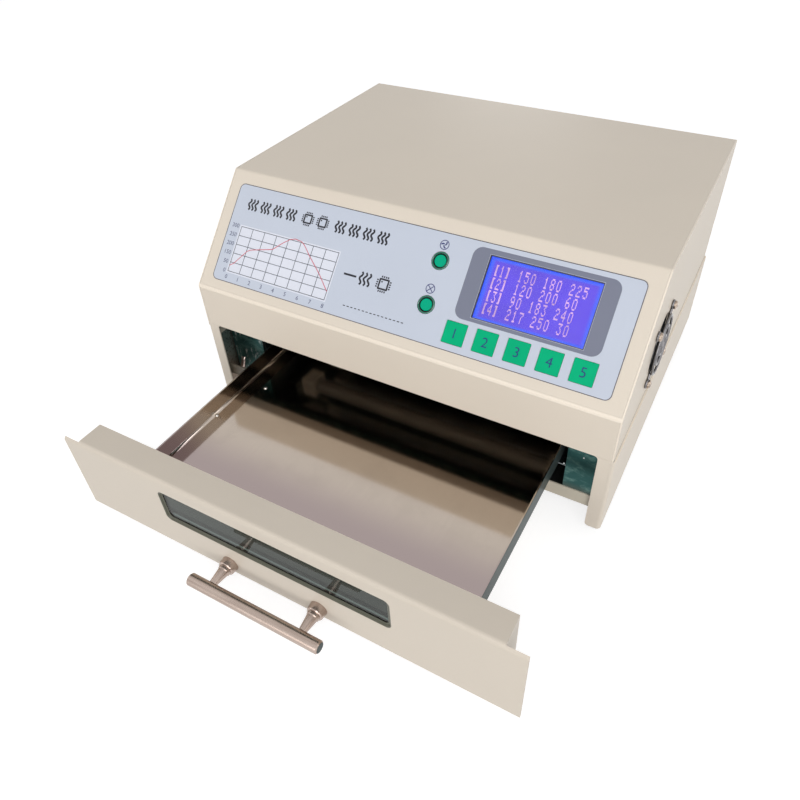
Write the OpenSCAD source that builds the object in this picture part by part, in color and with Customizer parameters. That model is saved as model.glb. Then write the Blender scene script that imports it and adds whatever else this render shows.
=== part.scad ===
// Bench-top infrared reflow oven with a glazed drawer, built as separate sheet-metal,
// heater, fan, control and drawer pieces. Millimetres. X is to the right, Y to the back, Z up.

/* [Cabinet] */
// Width across the lower side panels
cab_w = 310; // [290:1:380]
// Depth from the fascia to the back of the rear panel
cab_d = 259; // [252:1:330]
// Height of the case, without its feet
cab_h = 160; // [155:1:200]
// Thickness of the painted sheet steel
sheet = 1.2; // [0.8:0.1:1.8]
// Height of the lower side panels, where they step in to the cover
side_h = 62.5; // [54:0.5:63]
// How far the cover tucks down inside the lower side panels
tuck = 14; // [8:1:20]
// Height of the fold between the fascia and the sloping panel
nose_h = 96.5; // [94:0.5:100]
// Depth taken up by the sloping panel
slope_run = 60.5; // [54:0.5:70]
// Outside radius of the folds in the painted sheet
fold_r = 3; // [2:0.5:5]

/* [Mouth] */
// Height of the top edge of the drawer mouth
mouth_top = 63.5; // [63.5:0.5:66]
// Width of the upright jamb at each side of the mouth
jamb_w = 10.2; // [8:0.2:12]
// Radius in the upper corners of the mouth
mouth_r = 2.5; // [1:0.5:4]
// Height of the underside of the front crossbar
bar_z = 14; // [10:0.5:16]
// Height of the front crossbar's face
bar_h = 10; // [6:0.5:11]
// How far the crossbar stands back from the jambs
bar_set = 3.5; // [2.5:0.5:6]

/* [Drawer] */
// How far the drawer is pulled out
drawer_pull = 132; // [60:1:150]
// Thickness of the drawer's painted sheet
front_t = 1.5; // [1:0.1:2.5]
// Height of the lower edge of the drawer front
front_low = 0.8; // [0.4:0.1:3]
// Depth of the folded rim along the top of the drawer front
rim_depth = 18.6; // [14:0.2:22]
// Width of the window
window_w = 160; // [100:1:170]
// Height of the window
window_h = 26.4; // [16:0.2:28]
// Height of the window's lower edge
window_low = 25.6; // [24:0.2:27]
// Radius of the window's corners
window_r = 4; // [2:0.5:6]
// Thickness of the window glass
glass_t = 2; // [1:0.5:2]
// Outside width of the tray
tray_w = 234.6; // [225:0.2:240]
// Length of the tray behind the drawer front
tray_len = 209; // [180:1:210]
// Height of the tray's side walls
tray_wall = 14.3; // [8:0.1:20]
// Thickness of the tray's stainless sheet
tray_t = 1; // [0.6:0.1:1.5]

/* [Handle] */
// Diameter of the handle bar
grip_d = 8; // [6:0.5:11]
// Length of the handle bar
grip_len = 94; // [80:1:140]
// Distance between the two posts
post_gap = 65; // [50:1:70]
// Distance from the drawer front to the middle of the bar
grip_reach = 20; // [17:0.5:32]
// Height of the bar's middle
grip_z = 9.5; // [9:0.5:14]
// Sideways place of the handle's middle
grip_x = -1.5; // [-10:0.5:10]
// Diameter of the collar at the foot of each post
collar_d = 13; // [11:0.5:16]

/* [Chamber] */
// Gap between the closed drawer's rim and the chamber's front plate
bulkhead_gap = 1.4; // [0.8:0.1:4]
// Gap between the tray and each side of the chamber's port
tray_gap = 5.4; // [4:0.1:6]
// Thickness of the chamber's stainless sheet
steel = 1; // [0.6:0.1:1.4]
// Height of the chamber's roof
roof_z = 92; // [88:0.5:94]
// Thickness of the insulating blanket on the roof
wool_t = 8; // [4:0.5:9]
// Diameter of the quartz heater tubes
tube_d = 12; // [8:0.5:14]
// Height of the heater tubes
tube_z = 72; // [68:0.5:74]
// Distance between the tubes of a pair
tube_gap = 42; // [20:1:50]
// Distance between the middles of the two pairs
pair_gap = 92; // [72:1:96]

/* [Sloping panel] */
// Gap between the label and each side of the case
label_in = 11; // [11:0.5:14]
// Height of the label along the slope
label_h = 70.4; // [66:0.2:72]
// Gap between the lower fold and the label's lower edge
label_low = 8; // [7:0.5:9]
// Thickness of the label
label_t = 0.4; // [0.2:0.1:0.8]
// Width of the display's clear window
view_w = 70.6; // [50:0.2:72]
// Height of the display's clear window
view_h = 40; // [30:0.2:41]
// Distance of the display's middle from the label's right end
view_in = 58.3; // [54:0.1:64]
// Place of the display's middle above the label's lower edge
view_s = 43.7; // [43:0.1:45]
// Width of a key
key_w = 14; // [8:0.2:15]
// Height of a key
key_h = 13.8; // [8:0.2:14]
// Distance between neighbouring keys
key_pitch = 20.3; // [19:0.1:21]
// Distance of the key row's middle from the label's right end
key_in = 59.6; // [56:0.1:64]
// Place of the key row above the label's lower edge
key_s = 11.7; // [10:0.1:12]
// Travel of a key
key_travel = 0.5; // [0.2:0.1:0.8]
// Diameter of the indicator holes
lamp_hole = 12; // [9:0.5:13]
// Distance of the indicators from the label's right end
lamp_in = 124; // [120:0.5:130]
// Distance between the two indicators along the slope
lamp_gap = 28.5; // [20:0.5:32]
// Place of the lower indicator above the label's lower edge
lamp_s = 23.8; // [18:0.1:28]

/* [Fans] */
// Side of the small cooling fan's frame
side_fan_w = 45; // [40:1:50]
// Distance between the small fan's screws
side_fan_holes = 37; // [32:0.5:40]
// Thickness of the small cooling fan
side_fan_t = 10; // [8:0.5:15]
// Distance of the small fan's middle behind the fascia
side_fan_y = 79.5; // [74:0.5:84]
// Height of the small fan's middle
side_fan_z = 95.5; // [92:0.5:98]
// Side of the exhaust fan's frame
rear_fan_w = 60; // [50:1:60]
// Distance between the exhaust fan's screws
rear_fan_holes = 50; // [44:0.5:52]
// Thickness of the exhaust fan
rear_fan_t = 25; // [20:0.5:26]
// Height of the exhaust fan's middle
rear_fan_z = 54; // [50:0.5:58]
// Diameter of the finger guards' wire
wire_d = 1.6; // [1:0.1:2]

/* [Feet] */
// Height of the rubber feet
foot_h = 10; // [6:0.5:16]
// Diameter of the rubber feet
foot_d = 20; // [14:0.5:24]
// Distance of the feet in from the side of the case
foot_in = 14; // [13:0.5:18]
// Distance of the feet from the front and the back of the case
foot_end = 45; // [42:1:60]

/* [Hidden] */
$fn = 48;
cream = [0.88, 0.85, 0.78];
cream_dim = [0.80, 0.77, 0.69];
stainless = [0.62, 0.63, 0.64];
nickel = [0.72, 0.70, 0.66];
black = [0.08, 0.08, 0.09];
board_green = [0.05, 0.35, 0.22];

// Clearances
hair = 0.1;          // seam between two folded sheets
front_gap = 0.2;     // drawer front to the outside of the case, each side
lid_gap = 1.1;       // drawer front under the fascia
rim_gap = 1.95;      // drawer rim inside the mouth, each side
slide_gap = 0.3;     // tray over and under its runners
key_gap = 0.2;       // key in its cut-out, each side
spin_gap = 0.06;     // fan and rocker bores round their pins
screw_gap = 0.2;     // radial clearance of a screw in its hole

// Case
cover_x = cab_w / 2 - sheet;          // outer face of the cover's side
inner_x = cover_x - sheet;            // inner face of the cover's side
mouth_x = cab_w / 2 - jamb_w;
jamb_top = mouth_top - hair;
tuck_z = side_h - tuck;
slope_a = atan((cab_h - nose_h) / slope_run);
rear_y = cab_d - sheet;               // inner face of the rear panel
pan_z = sheet;                        // the pan lies on the side panels' lower flanges
flange_w = 28;
flange_y = 25;                        // the lower flanges start behind the mouth
pan_lip = 38;                         // height of the pan's turned-up sides
turn_h = 12;                          // height of the narrow turned edges
fascia_lip = 9;

// Drawer
front_x = cab_w / 2 - front_gap;
front_top = mouth_top - lid_gap;
rim_x = mouth_x - rim_gap;
plate_y = -drawer_pull;               // back face of the drawer front
face_y = plate_y - front_t;
bar_top = bar_z + bar_h;
tray_z = bar_top + 0.5;               // underside of the tray
tray_x = tray_w / 2;
tray_end = plate_y + tray_len;
glass_lap = 4;                        // glass behind each edge of the window
keeper_w = 2.4;                       // rim of the window keeper round the glass
keeper_t = 1;
keeper_x = window_w / 2 + glass_lap + keeper_w;
well_y = plate_y + glass_t + keeper_t + 2;   // front wall of the tray's well
arm_x = keeper_x + 2;                 // tray arms pass outside the window keeper
tray_screw_x = [arm_x + 8, tray_x - 8];

// Handle
post_r = grip_d * 0.4;
post_x = [grip_x - post_gap / 2, grip_x + post_gap / 2];
grip_y = face_y - grip_reach;
shank_r = 2;                          // M4
head_r = 3.6;
head_t = 2.4;
screw_bite = 9;                       // thread of a handle screw in its post

// Chamber
bulkhead_y = rim_depth - front_t + bulkhead_gap;
port_x = tray_x + tray_gap;
wall_x = port_x + 0.5;                // inner face of the chamber's side
chamber_y = bulkhead_y + steel;
chamber_end = rear_y - rear_fan_t - 4.8;
port_low = pan_z + sheet + 1;
port_top = mouth_top + 4.5;
bulkhead_top = roof_z + 3;
foot_nut_r = 4;
foot_lip = cab_w / 2 - foot_in - foot_nut_r - wall_x - 2;    // chamber side's flange, clear of the foot nuts
cap_len = 12;
cap_w = tube_d + 4;
bracket_in = 9;                       // tube brackets in from the chamber's walls
bracket_x = wall_x - bracket_in;
tube_ys = [for (p = [-1, 1], q = [-1, 1])
    (chamber_y + chamber_end) / 2 - 3 + p * pair_gap / 2 + q * tube_gap / 2];
mirror_z = roof_z - steel - 3;        // top of the reflector
mirror_t = 0.8;
probe_d = 3;
probe_len = 46;                       // inside the chamber
probe_x = rear_fan_w / 2 + 18;
probe_z = tray_z + tray_wall + 16;

// Deck and what stands on it
deck_z = roof_z + wool_t + 3;
deck_top = deck_z + sheet;
deck_y = side_fan_y + side_fan_w / 2 + 6;
inlet_d = 24;
deck_end = cab_d - inlet_d - 3;       // the inlet passes behind the deck
deck_room = cab_h - sheet - deck_top;
leg_y = deck_y + 12;
leg_len = 95;
pillar_h = 6;
pillar_r = 2.5;
pillar_in = 4;                        // pillars in from the power board's corners
power_w = 120;
power_l = 84;
power_x = 8;
can_r = 4;
can_h = 14;                           // capacitors, as far from the board's edge as they are tall
can_pitch = 11;
can_in = 44;                          // first capacitor from the board's middle
power_y = deck_y + 8;
board_t = 1.6;
relay = [19, 16, 16];
terminal_block = [42, 12, 12];
sink_w = 36;
sink_h = 26;
fin_t = 2;
fin_len = 8;
power_top = deck_top + pillar_h + board_t;
core_w = 57;
core_l = 30;
core_h = deck_room - 8.6;
core_in = 57.6;                       // transformer's middle from the deck's end
core_x = core_in - inner_x;
core_back = 50;                       // transformer behind the deck's front edge
core_y = deck_y + core_back;
coil_proud = 7;

wire_r = 1.3;                         // mains wire
clip_w = 3.2;                         // side of a wire's corner clip

// Rear panel fittings
inlet_w = 27;
inlet_h = 31;
inlet_x = cab_w / 2 - 47;
inlet_z = cab_h - sheet - turn_h - 3.1 - inlet_h / 2;        // just under the cover's turned edge
ear_w = 50;
inlet_ear_t = 3;
ear_gap = 40;
inlet_face = cab_d + inlet_ear_t;
socket_w = 24;
socket_h = 15;
socket_d = 18;
socket_z = inlet_z - 6;
pin_w = 4;
pin_pitch = 7;
fuse_w = 20;
fuse_h = 6.5;
fuse_d = 19;
fuse_z = inlet_z + 10.5;
fit_gap = 0.3;
switch_x = inlet_x - 46;
switch_z = inlet_z;
switch_w = 13;
switch_h = 19.4;
switch_d = 14;
switch_rim = 1;
rocker_r = 11;
rocker_tilt = 9;
pivot_r = 1.1;
pivot_y = rear_y - 4;
rear_screw_z = [pan_z + sheet + turn_h / 2, cab_h - sheet - turn_h / 2];
rear_screw_x = [for (k = [-1, 0, 1]) k * (cab_w / 2 - 45)];
vent_count = 8;
vent_pitch = 17;
vent_w = 3;
vent_h = 26;
vent_x = 36.5 - cab_w / 2;
vent_z = inlet_z + 1;

// Sloping panel stack, measured along the panel's outward normal
label_w = cab_w - 2 * label_in;
view_x = label_w / 2 - view_in;
lamp_x = label_w / 2 - lamp_in;
key_count = 5;
key_x = label_w / 2 - key_in - key_pitch * (key_count - 1) / 2;
film_t = 0.8;
frame_front = -sheet - film_t;
frame_d = 3.6;
frame_back = frame_front - frame_d;
frame_rim = 3.8;
screen_front = frame_front - 1;
module_back = frame_back - board_t;
board_front = -8.6;
button_proud = 0.2;
button_top = label_t + button_proud;
button_lip = 1.2;
lip_front = -sheet - 0.2;
lip_t = 1;
stem_end = -4.5;
stem_r = 1.7;
switch_body = 6;
control_past = 6.8;                   // control board past the last key's lip
control_low_x = lamp_x - lamp_hole;
control_top_x = key_x + key_pitch * (key_count - 1) + key_w / 2 + button_lip + control_past;
control_w = control_top_x - control_low_x;
control_h = label_h - 4;
control_x = (control_low_x + control_top_x) / 2;
spacer_in = 4;                        // board spacers in from the board's corners
lamp_ring = 1.5;
lamp_r = lamp_hole / 2 - lamp_ring - 0.1;

// Fans
guard_h = 2 * wire_d;
hub_r = 9;
rib_t = 2;
fan_screw_r = 1.5;                    // M3
small_hole_r = fan_screw_r + screw_gap;
fan_head_r = 2.8;
fan_head_t = 1.9;
side_proud = max(0, cover_x + wire_d + fan_head_t - cab_w / 2, cover_x + guard_h - cab_w / 2);
rear_proud = max(guard_h, wire_d + fan_head_t, inlet_ear_t + fan_head_t);

// The part's origin is under the middle of its bounding box, on the floor
front_most = grip_y - grip_d / 2;
x_mid = side_proud / 2;
y_mid = (cab_d + rear_proud + front_most) / 2;

// ---------------------------------------------------------------- helpers

module placed() translate([-x_mid, -y_mid, foot_h]) children();

module block(low, high) translate(low) cube(high - low);

// Block centred on x and z, as a fitting in the rear panel is
module centred(x, z, w, h, low_y, high_y)
    block([x - w / 2, low_y, z - h / 2], [x + w / 2, high_y, z + h / 2]);

module both_sides() {
    children();
    mirror([1, 0, 0]) children();
}

module along_x(low, high) translate([low, 0, 0]) rotate([90, 0, 90]) linear_extrude(high - low) children();

module rod_x(r, low, high, y, z) translate([low, y, z]) rotate([0, 90, 0]) cylinder(r = r, h = high - low);

module rod_y(r, low, high, x, z) translate([x, low, z]) rotate([-90, 0, 0]) cylinder(r = r, h = high - low);

module on_slope() translate([0, 0, nose_h]) rotate([slope_a, 0, 0]) children();

module on_label() on_slope() translate([0, label_low, 0]) children();

module rounded_plate(w, h, r, low, high) {
    translate([0, 0, low]) {
        translate([-w / 2 + r, -h / 2, 0]) cube([w - 2 * r, h, high - low]);
        translate([-w / 2, -h / 2 + r, 0]) cube([w, h - 2 * r, high - low]);
        for (x = [-1, 1], y = [-1, 1]) translate([x * (w / 2 - r), y * (h / 2 - r), 0])
            cylinder(r = r, h = high - low);
    }
}

// Pan-head screw: the head stands on z = 0, the shank goes down
module pan_screw(r, head_r, head_t, length) {
    difference() {
        rotate_extrude() polygon([[0, -length], [r, -length], [r, 0], [head_r, 0],
            [head_r, head_t * 0.45], [head_r * 0.8, head_t * 0.85], [head_r * 0.45, head_t], [0, head_t]]);
        for (a = [0, 90]) rotate([0, 0, a])
            translate([-head_r * 0.5, -head_r * 0.11, head_t * 0.45]) cube([head_r, head_r * 0.22, head_t]);
    }
}

module small_screw(length) pan_screw(fan_screw_r, fan_head_r, fan_head_t, length);

// Square frame with a hub on four ribs near z = 0, and the pin that the impeller turns on
module fan_frame(w, t, holes, bore_r) {
    difference() {
        rounded_plate(w, w, 2.5, 0, t);
        translate([0, 0, -1]) cylinder(r = bore_r, h = t + 2);
        for (x = [-1, 1], y = [-1, 1]) translate([x * holes / 2, y * holes / 2, -1])
            cylinder(r = small_hole_r, h = t + 2);
    }
    translate([0, 0, 0.2]) cylinder(r = hub_r, h = rib_t);
    for (a = [45, 135, 225, 315]) rotate([0, 0, a]) translate([hub_r - 1, -rib_t * 0.6, 0.4])
        cube([bore_r - hub_r + 1.6, rib_t * 1.2, rib_t - 0.4]);
    translate([0, 0, rib_t]) cylinder(r = fan_screw_r, h = t - 1 - rib_t);
}

module impeller(bore_r, t, blades) {
    difference() {
        union() {
            translate([0, 0, 2.6]) cylinder(r = hub_r, h = t - 3.2);
            intersection() {
                for (i = [0:blades - 1]) rotate([0, 0, i * 360 / blades])
                    translate([hub_r - 1, 0, t / 2 + 0.9]) rotate([38, 0, 0])
                        translate([0, -t * 0.62, -0.6]) cube([bore_r - hub_r, t * 1.24, 1.2]);
                translate([0, 0, 2.8]) difference() {
                    cylinder(r = bore_r - 0.9, h = t - 3.6);
                    translate([0, 0, -1]) cylinder(r = hub_r - 0.5, h = t);
                }
            }
        }
        translate([0, 0, -1]) cylinder(r = fan_screw_r + spin_gap, h = t + 2);
    }
}

module finger_guard(holes, bore_r) {
    rings = max(2, floor(bore_r / 5.2));
    for (i = [1:rings]) translate([0, 0, wire_d * 1.35]) rotate_extrude()
        translate([bore_r * i / rings, 0]) circle(d = wire_d, $fn = 16);
    for (a = [45, 135]) rotate([0, 0, a]) translate([-holes / sqrt(2) + 3, 0, wire_d / 2])
        rotate([0, 90, 0]) cylinder(d = wire_d, h = holes * sqrt(2) - 6, $fn = 16);
    for (x = [-1, 1], y = [-1, 1]) translate([x * holes / 2, y * holes / 2, wire_d / 2]) rotate_extrude()
        translate([fan_screw_r + screw_gap + wire_d / 2, 0]) circle(d = wire_d, $fn = 16);
}

// ---------------------------------------------------------------- folded outline of the cover

function arc(centre, r, from, to, steps) = [for (i = [0:steps])
    centre + r * [cos(from + (to - from) * i / steps), sin(from + (to - from) * i / steps)]];

function fold_arcs(r) = concat(
    arc([fold_r, nose_h - fold_r * tan((90 - slope_a) / 2)], r, 180, 90 + slope_a, 6),
    arc([slope_run + fold_r * tan(slope_a / 2), cab_h - fold_r], r, 90 + slope_a, 90, 6));

function reversed(list) = [for (i = [len(list) - 1:-1:0]) list[i]];

cover_outline = concat([[0, mouth_top]], fold_arcs(fold_r), [[cab_d, cab_h]]);
cover_inline = concat([[sheet, mouth_top]], fold_arcs(fold_r - sheet), [[cab_d, cab_h - sheet]]);

// ---------------------------------------------------------------- case

module foot_holes() at_feet() translate([0, 0, -1]) cylinder(r = shank_r + screw_gap, h = 2 * sheet + 2);

module side_panel() {
    difference() {
        union() {
            block([cover_x, fold_r, 0], [cab_w / 2, cab_d, side_h]);
            block([mouth_x, 0, mouth_r], [cab_w / 2 - fold_r, sheet, jamb_top]);
            block([mouth_x + mouth_r, 0, 0], [cab_w / 2 - fold_r, sheet, mouth_r]);
            rod_y(mouth_r, 0, sheet, mouth_x + mouth_r, mouth_r);
            translate([cab_w / 2 - fold_r, fold_r, 0]) intersection() {
                difference() {
                    cylinder(r = fold_r, h = side_h);
                    translate([0, 0, -1]) cylinder(r = fold_r - sheet, h = side_h + 2);
                }
                translate([0, -fold_r, 0]) cube([fold_r, fold_r, side_h]);
            }
            block([cab_w / 2 - fold_r - hair, 0, side_h - sheet], [cover_x, sheet, jamb_top]);
            difference() {
                block([mouth_x - mouth_r, 0, jamb_top - mouth_r], [mouth_x, sheet, jamb_top]);
                rod_y(mouth_r, -sheet, 2 * sheet, mouth_x - mouth_r, jamb_top - mouth_r);
            }
            block([cab_w / 2 - flange_w, flange_y, 0], [cover_x, rear_y, sheet]);
        }
        foot_holes();
    }
}

module side_panel_right() color(cream) placed() side_panel();

module side_panel_left() color(cream) placed() mirror([1, 0, 0]) side_panel();

module front_crossbar() color(cream_dim) placed() {
    block([-inner_x, bar_set, bar_z], [inner_x, bar_set + sheet, bar_top]);
    both_sides() block([mouth_x + 1.5, sheet, bar_z], [mouth_x + 1.5 + sheet, bar_set, bar_top]);
}

module base_pan() color(cream_dim) placed() difference() {
    union() {
        block([-cover_x, chamber_y, pan_z], [cover_x, rear_y, pan_z + sheet]);
        both_sides() block([inner_x, flange_y, pan_z], [cover_x, rear_y, pan_z + pan_lip]);
        block([-inner_x + 4, rear_y - sheet, pan_z], [inner_x - 4, rear_y, pan_z + sheet + turn_h]);
    }
    foot_holes();
    for (x = rear_screw_x) rod_y(small_hole_r, rear_y - 2 * sheet, cab_d, x, rear_screw_z[0]);
}

// Openings for the display, the keys and the indicators, through both the cover and its label
module panel_cuts() {
    translate([view_x, view_s, 0]) rounded_plate(view_w, view_h, 0.6, -3 * sheet, sheet);
    at_keys() rounded_plate(key_w + 2 * key_gap, key_h + 2 * key_gap, 0.6, -3 * sheet, sheet);
    at_lamps() translate([0, 0, -3 * sheet]) cylinder(d = lamp_hole, h = 6 * sheet);
}

module at_keys() for (i = [0:key_count - 1]) translate([key_x + i * key_pitch, key_s, 0]) children();

module at_lamps() for (i = [0, 1]) translate([lamp_x, lamp_s + i * lamp_gap, 0]) children();

module cover_cuts() {
    on_label() panel_cuts();
    rod_x(side_fan_w / 2 - 2, inner_x - 1, cover_x + 1, side_fan_y, side_fan_z);
    for (y = [-1, 1], z = [-1, 1]) rod_x(small_hole_r, inner_x - 1, cover_x + 1,
        side_fan_y + y * side_fan_holes / 2, side_fan_z + z * side_fan_holes / 2);
    for (x = rear_screw_x) rod_y(small_hole_r, rear_y - 2 * sheet, rear_y + sheet, x, rear_screw_z[1]);
}

module top_cover() color(cream) placed() difference() {
    union() {
        along_x(-cover_x, cover_x) polygon(concat(cover_outline, reversed(cover_inline)));
        both_sides() along_x(inner_x, cover_x) polygon(concat(cover_outline,
            [[cab_d, tuck_z], [fold_r + hair, tuck_z], [fold_r + hair, mouth_top]]));
        block([-mouth_x + 4, 0, mouth_top], [mouth_x - 4, fascia_lip, mouth_top + sheet]);
        block([-inner_x + 4, rear_y - sheet, cab_h - sheet - turn_h], [inner_x - 4, rear_y, cab_h - sheet]);
    }
    cover_cuts();
}

module rear_panel() color(cream) placed() difference() {
    block([-inner_x, rear_y, 0], [inner_x, cab_d, cab_h - sheet]);
    rod_y(rear_fan_w / 2 - 2, rear_y - 1, cab_d + 1, 0, rear_fan_z);
    for (x = [-1, 1], z = [-1, 1]) rod_y(small_hole_r, rear_y - 1, cab_d + 1,
        x * rear_fan_holes / 2, rear_fan_z + z * rear_fan_holes / 2);
    for (x = rear_screw_x, z = rear_screw_z) rod_y(small_hole_r, rear_y - 1, cab_d + 1, x, z);
    centred(inlet_x, inlet_z, inlet_w + 2 * fit_gap, inlet_h + 2 * fit_gap, rear_y - 1, cab_d + 1);
    for (x = [-1, 1]) rod_y(small_hole_r, rear_y - 1, cab_d + 1, inlet_x + x * ear_gap / 2, inlet_z);
    centred(switch_x, switch_z, switch_w + 2 * fit_gap, switch_h + 2 * fit_gap, rear_y - 1, cab_d + 1);
    for (i = [0:vent_count - 1])
        centred(vent_x + i * vent_pitch, vent_z, vent_w, vent_h, rear_y - 1, cab_d + 1);
}

// ---------------------------------------------------------------- chamber

module chamber_front() color(stainless) placed() difference() {
    block([-inner_x + hair, bulkhead_y, pan_z], [inner_x - hair, chamber_y, bulkhead_top]);
    block([-port_x, bulkhead_y - 1, port_low], [port_x, chamber_y + 1, port_top]);
}

module chamber_shell() color(stainless) placed() {
    both_sides() {
        block([wall_x, chamber_y, pan_z + sheet], [wall_x + steel, chamber_end, roof_z]);
        block([wall_x, chamber_y, pan_z + sheet], [wall_x + foot_lip, chamber_end, pan_z + sheet + steel]);
    }
    block([-wall_x, chamber_y, roof_z - steel], [wall_x, chamber_end, roof_z]);
}

module chamber_rear_wall() color(stainless) placed() difference() {
    block([-wall_x - steel, chamber_end, pan_z + sheet], [wall_x + steel, chamber_end + steel, roof_z]);
    rod_y(rear_fan_w / 2 - 4, chamber_end - 1, chamber_end + steel + 1, 0, rear_fan_z);
    both_sides() rod_y(probe_d / 2 + screw_gap, chamber_end - 1, chamber_end + steel + 1, probe_x, probe_z);
}

// The reflector is one sheet with a shallow trough over each pair of tubes
module reflector() color("gainsboro") placed() {
    half = pair_gap / 2;
    mid = (tube_ys[0] + tube_ys[3]) / 2;
    top = [for (k = [-1, 1], p = [[-half + 6, -5], [-half / 2, 0], [half / 2, 0], [half - 6, -5]])
        [mid + k * half + p[0], mirror_z + p[1]]];
    along_x(-bracket_x, bracket_x) polygon(concat(top, reversed([for (p = top) p - [0, mirror_t]])));
    both_sides() for (y = tube_ys)
        block([bracket_x - 14, y - 3, mirror_z - mirror_t / 2], [bracket_x - 8, y + 3, roof_z - steel]);
}

module heater_tubes() color([0.95, 0.93, 0.88]) placed() for (y = tube_ys) difference() {
    rod_x(tube_d / 2, -bracket_x + 4, bracket_x - 4, y, tube_z);
    rod_x(tube_d / 2 - 1, -bracket_x, bracket_x, y, tube_z);
}

// Each filament ends in a terminal that plugs the hole through the end cap
module heater_filaments() color([0.55, 0.35, 0.25]) placed() for (y = tube_ys) {
    rod_x(tube_d / 5, -bracket_x, bracket_x, y, tube_z);
    both_sides() rod_x(tube_d / 4, bracket_x - 4, bracket_x, y, tube_z);
}

module heater_end_caps() color("ivory") placed() both_sides() for (y = tube_ys) difference() {
    block([bracket_x - cap_len, y - cap_w / 2, tube_z - cap_w / 2],
        [bracket_x, y + cap_w / 2, tube_z + cap_w / 2]);
    rod_x(tube_d / 2 + hair, bracket_x - cap_len - 1, bracket_x - 4, y, tube_z);
    rod_x(tube_d / 4, bracket_x - cap_len, bracket_x + 1, y, tube_z);
}

module heater_brackets() color(stainless) placed() both_sides() {
    first = tube_ys[0] - cap_w;
    last = tube_ys[3] + cap_w;
    difference() {
        block([bracket_x, first, tube_z - cap_w / 2], [bracket_x + steel, last, tube_z + cap_w / 2]);
        for (y = tube_ys) rod_x(tube_d / 4, bracket_x - 1, bracket_x + steel + 1, y, tube_z);
    }
    block([bracket_x, first, tube_z - cap_w / 2 - steel], [wall_x, last, tube_z - cap_w / 2]);
}

module insulation_blanket() color([0.86, 0.85, 0.80]) placed() difference() {
    block([-wall_x, chamber_y + 8, roof_z], [wall_x, chamber_end, roof_z + wool_t]);
    both_sides() block([wall_x - 2, chamber_y, roof_z + wool_t - 2],
        [wall_x + 1, chamber_end + 1, roof_z + wool_t + 1]);
}

module drawer_runners() color(stainless) placed() both_sides() {
    low = tray_z - slide_gap - steel;
    high = tray_z + tray_wall + slide_gap;
    block([wall_x - steel, chamber_y + 2, low], [wall_x, chamber_end - 12, high + steel]);
    block([tray_x - 6, chamber_y + 2, low], [wall_x, chamber_end - 12, low + steel]);
    block([tray_x - 3, chamber_y + 24, high], [wall_x, chamber_end - 12, high + steel]);
}

module temperature_probes() color("silver") placed() both_sides() {
    rod_y(probe_d / 2, chamber_end - probe_len, chamber_end + 8, probe_x, probe_z);
    rod_y(probe_d, chamber_end + steel, chamber_end + steel + 5, probe_x, probe_z);
}

// ---------------------------------------------------------------- sloping panel

module label_panel() color([0.78, 0.80, 0.86]) placed() on_label() difference() {
    translate([0, label_h / 2, 0]) rounded_plate(label_w, label_h, 4, 0, label_t);
    panel_cuts();
}

module display_window() color([0.9, 0.92, 0.95, 0.4]) placed() on_label() translate([view_x, view_s, 0])
    rounded_plate(view_w + frame_rim, view_h + frame_rim, 1, frame_front, -sheet);

module display_frame() color([0.25, 0.26, 0.28]) placed() on_label() translate([view_x, view_s, 0]) {
    difference() {
        rounded_plate(view_w + 2 * frame_rim, view_h + 2 * frame_rim, 1, frame_back, frame_front);
        rounded_plate(view_w, view_h, 0.6, screen_front, frame_front + 1);
        rounded_plate(view_w + frame_rim, view_h + frame_rim, 1, frame_back - 1, screen_front);
    }
    rounded_plate(view_w + 22, view_h + 3.6 * frame_rim, 1, module_back, module_back + board_t);
}

module display_screen() color([0.36, 0.33, 0.95]) placed() on_label() translate([view_x, view_s, 0])
    rounded_plate(view_w + frame_rim - 0.4, view_h + frame_rim - 0.4, 1, frame_back, screen_front);

module control_board() color(board_green) placed() on_label() translate([control_x, label_h / 2, 0]) {
    difference() {
        rounded_plate(control_w, control_h, 2, board_front - board_t, board_front);
        at_spacers() translate([0, 0, board_front - 3]) cylinder(r = small_hole_r, h = 6);
    }
    translate([-26, -2, board_front - board_t - 2]) cube([12, 12, 2]);
    translate([18, 18, board_front - board_t - 3]) cube([30, 5, 3]);
}

module at_spacers() for (x = [-1, 1], y = [-1, 1])
    translate([x * (control_w / 2 - spacer_in), y * (control_h / 2 - spacer_in), 0]) children();

module board_spacers() color(nickel) placed() on_label() translate([control_x, label_h / 2, 0]) at_spacers() {
    translate([0, 0, board_front]) cylinder(r = 2.5, h = -sheet - board_front);
    translate([0, 0, board_front - board_t - 3]) cylinder(r = fan_screw_r, h = 4);
    translate([0, 0, board_front - board_t - 1.6]) cylinder(r = 2.6, h = 1.6);
}

module key_switches() color("dimgray") placed() on_label() at_keys() {
    rounded_plate(switch_body, switch_body, 0.5, board_front, board_front + 3.2);
    translate([0, 0, board_front]) cylinder(r = stem_r, h = stem_end - key_travel - hair - board_front);
}

module key(i) color([0, 0.62, 0.42]) placed() on_label() translate([key_x + i * key_pitch, key_s, 0]) {
    rounded_plate(key_w, key_h, 0.5, lip_front - lip_t, button_top);
    rounded_plate(key_w + 2 * button_lip, key_h + 2 * button_lip, 0.5, lip_front - lip_t, lip_front);
    translate([0, 0, stem_end]) cylinder(r = stem_r, h = lip_front - lip_t - stem_end);
}

module key_1() key(0);

module key_2() key(1);

module key_3() key(2);

module key_4() key(3);

module key_5() key(4);

module indicator_lamps() color([0, 0.6, 0.5]) placed() on_label() at_lamps() rotate_extrude() polygon([
    [0, board_front], [lamp_r, board_front], [lamp_r, -1.6], [lamp_r * 0.9, -1.0],
    [lamp_r * 0.65, -0.5], [lamp_r * 0.35, -0.25], [0, -0.2]]);

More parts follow.
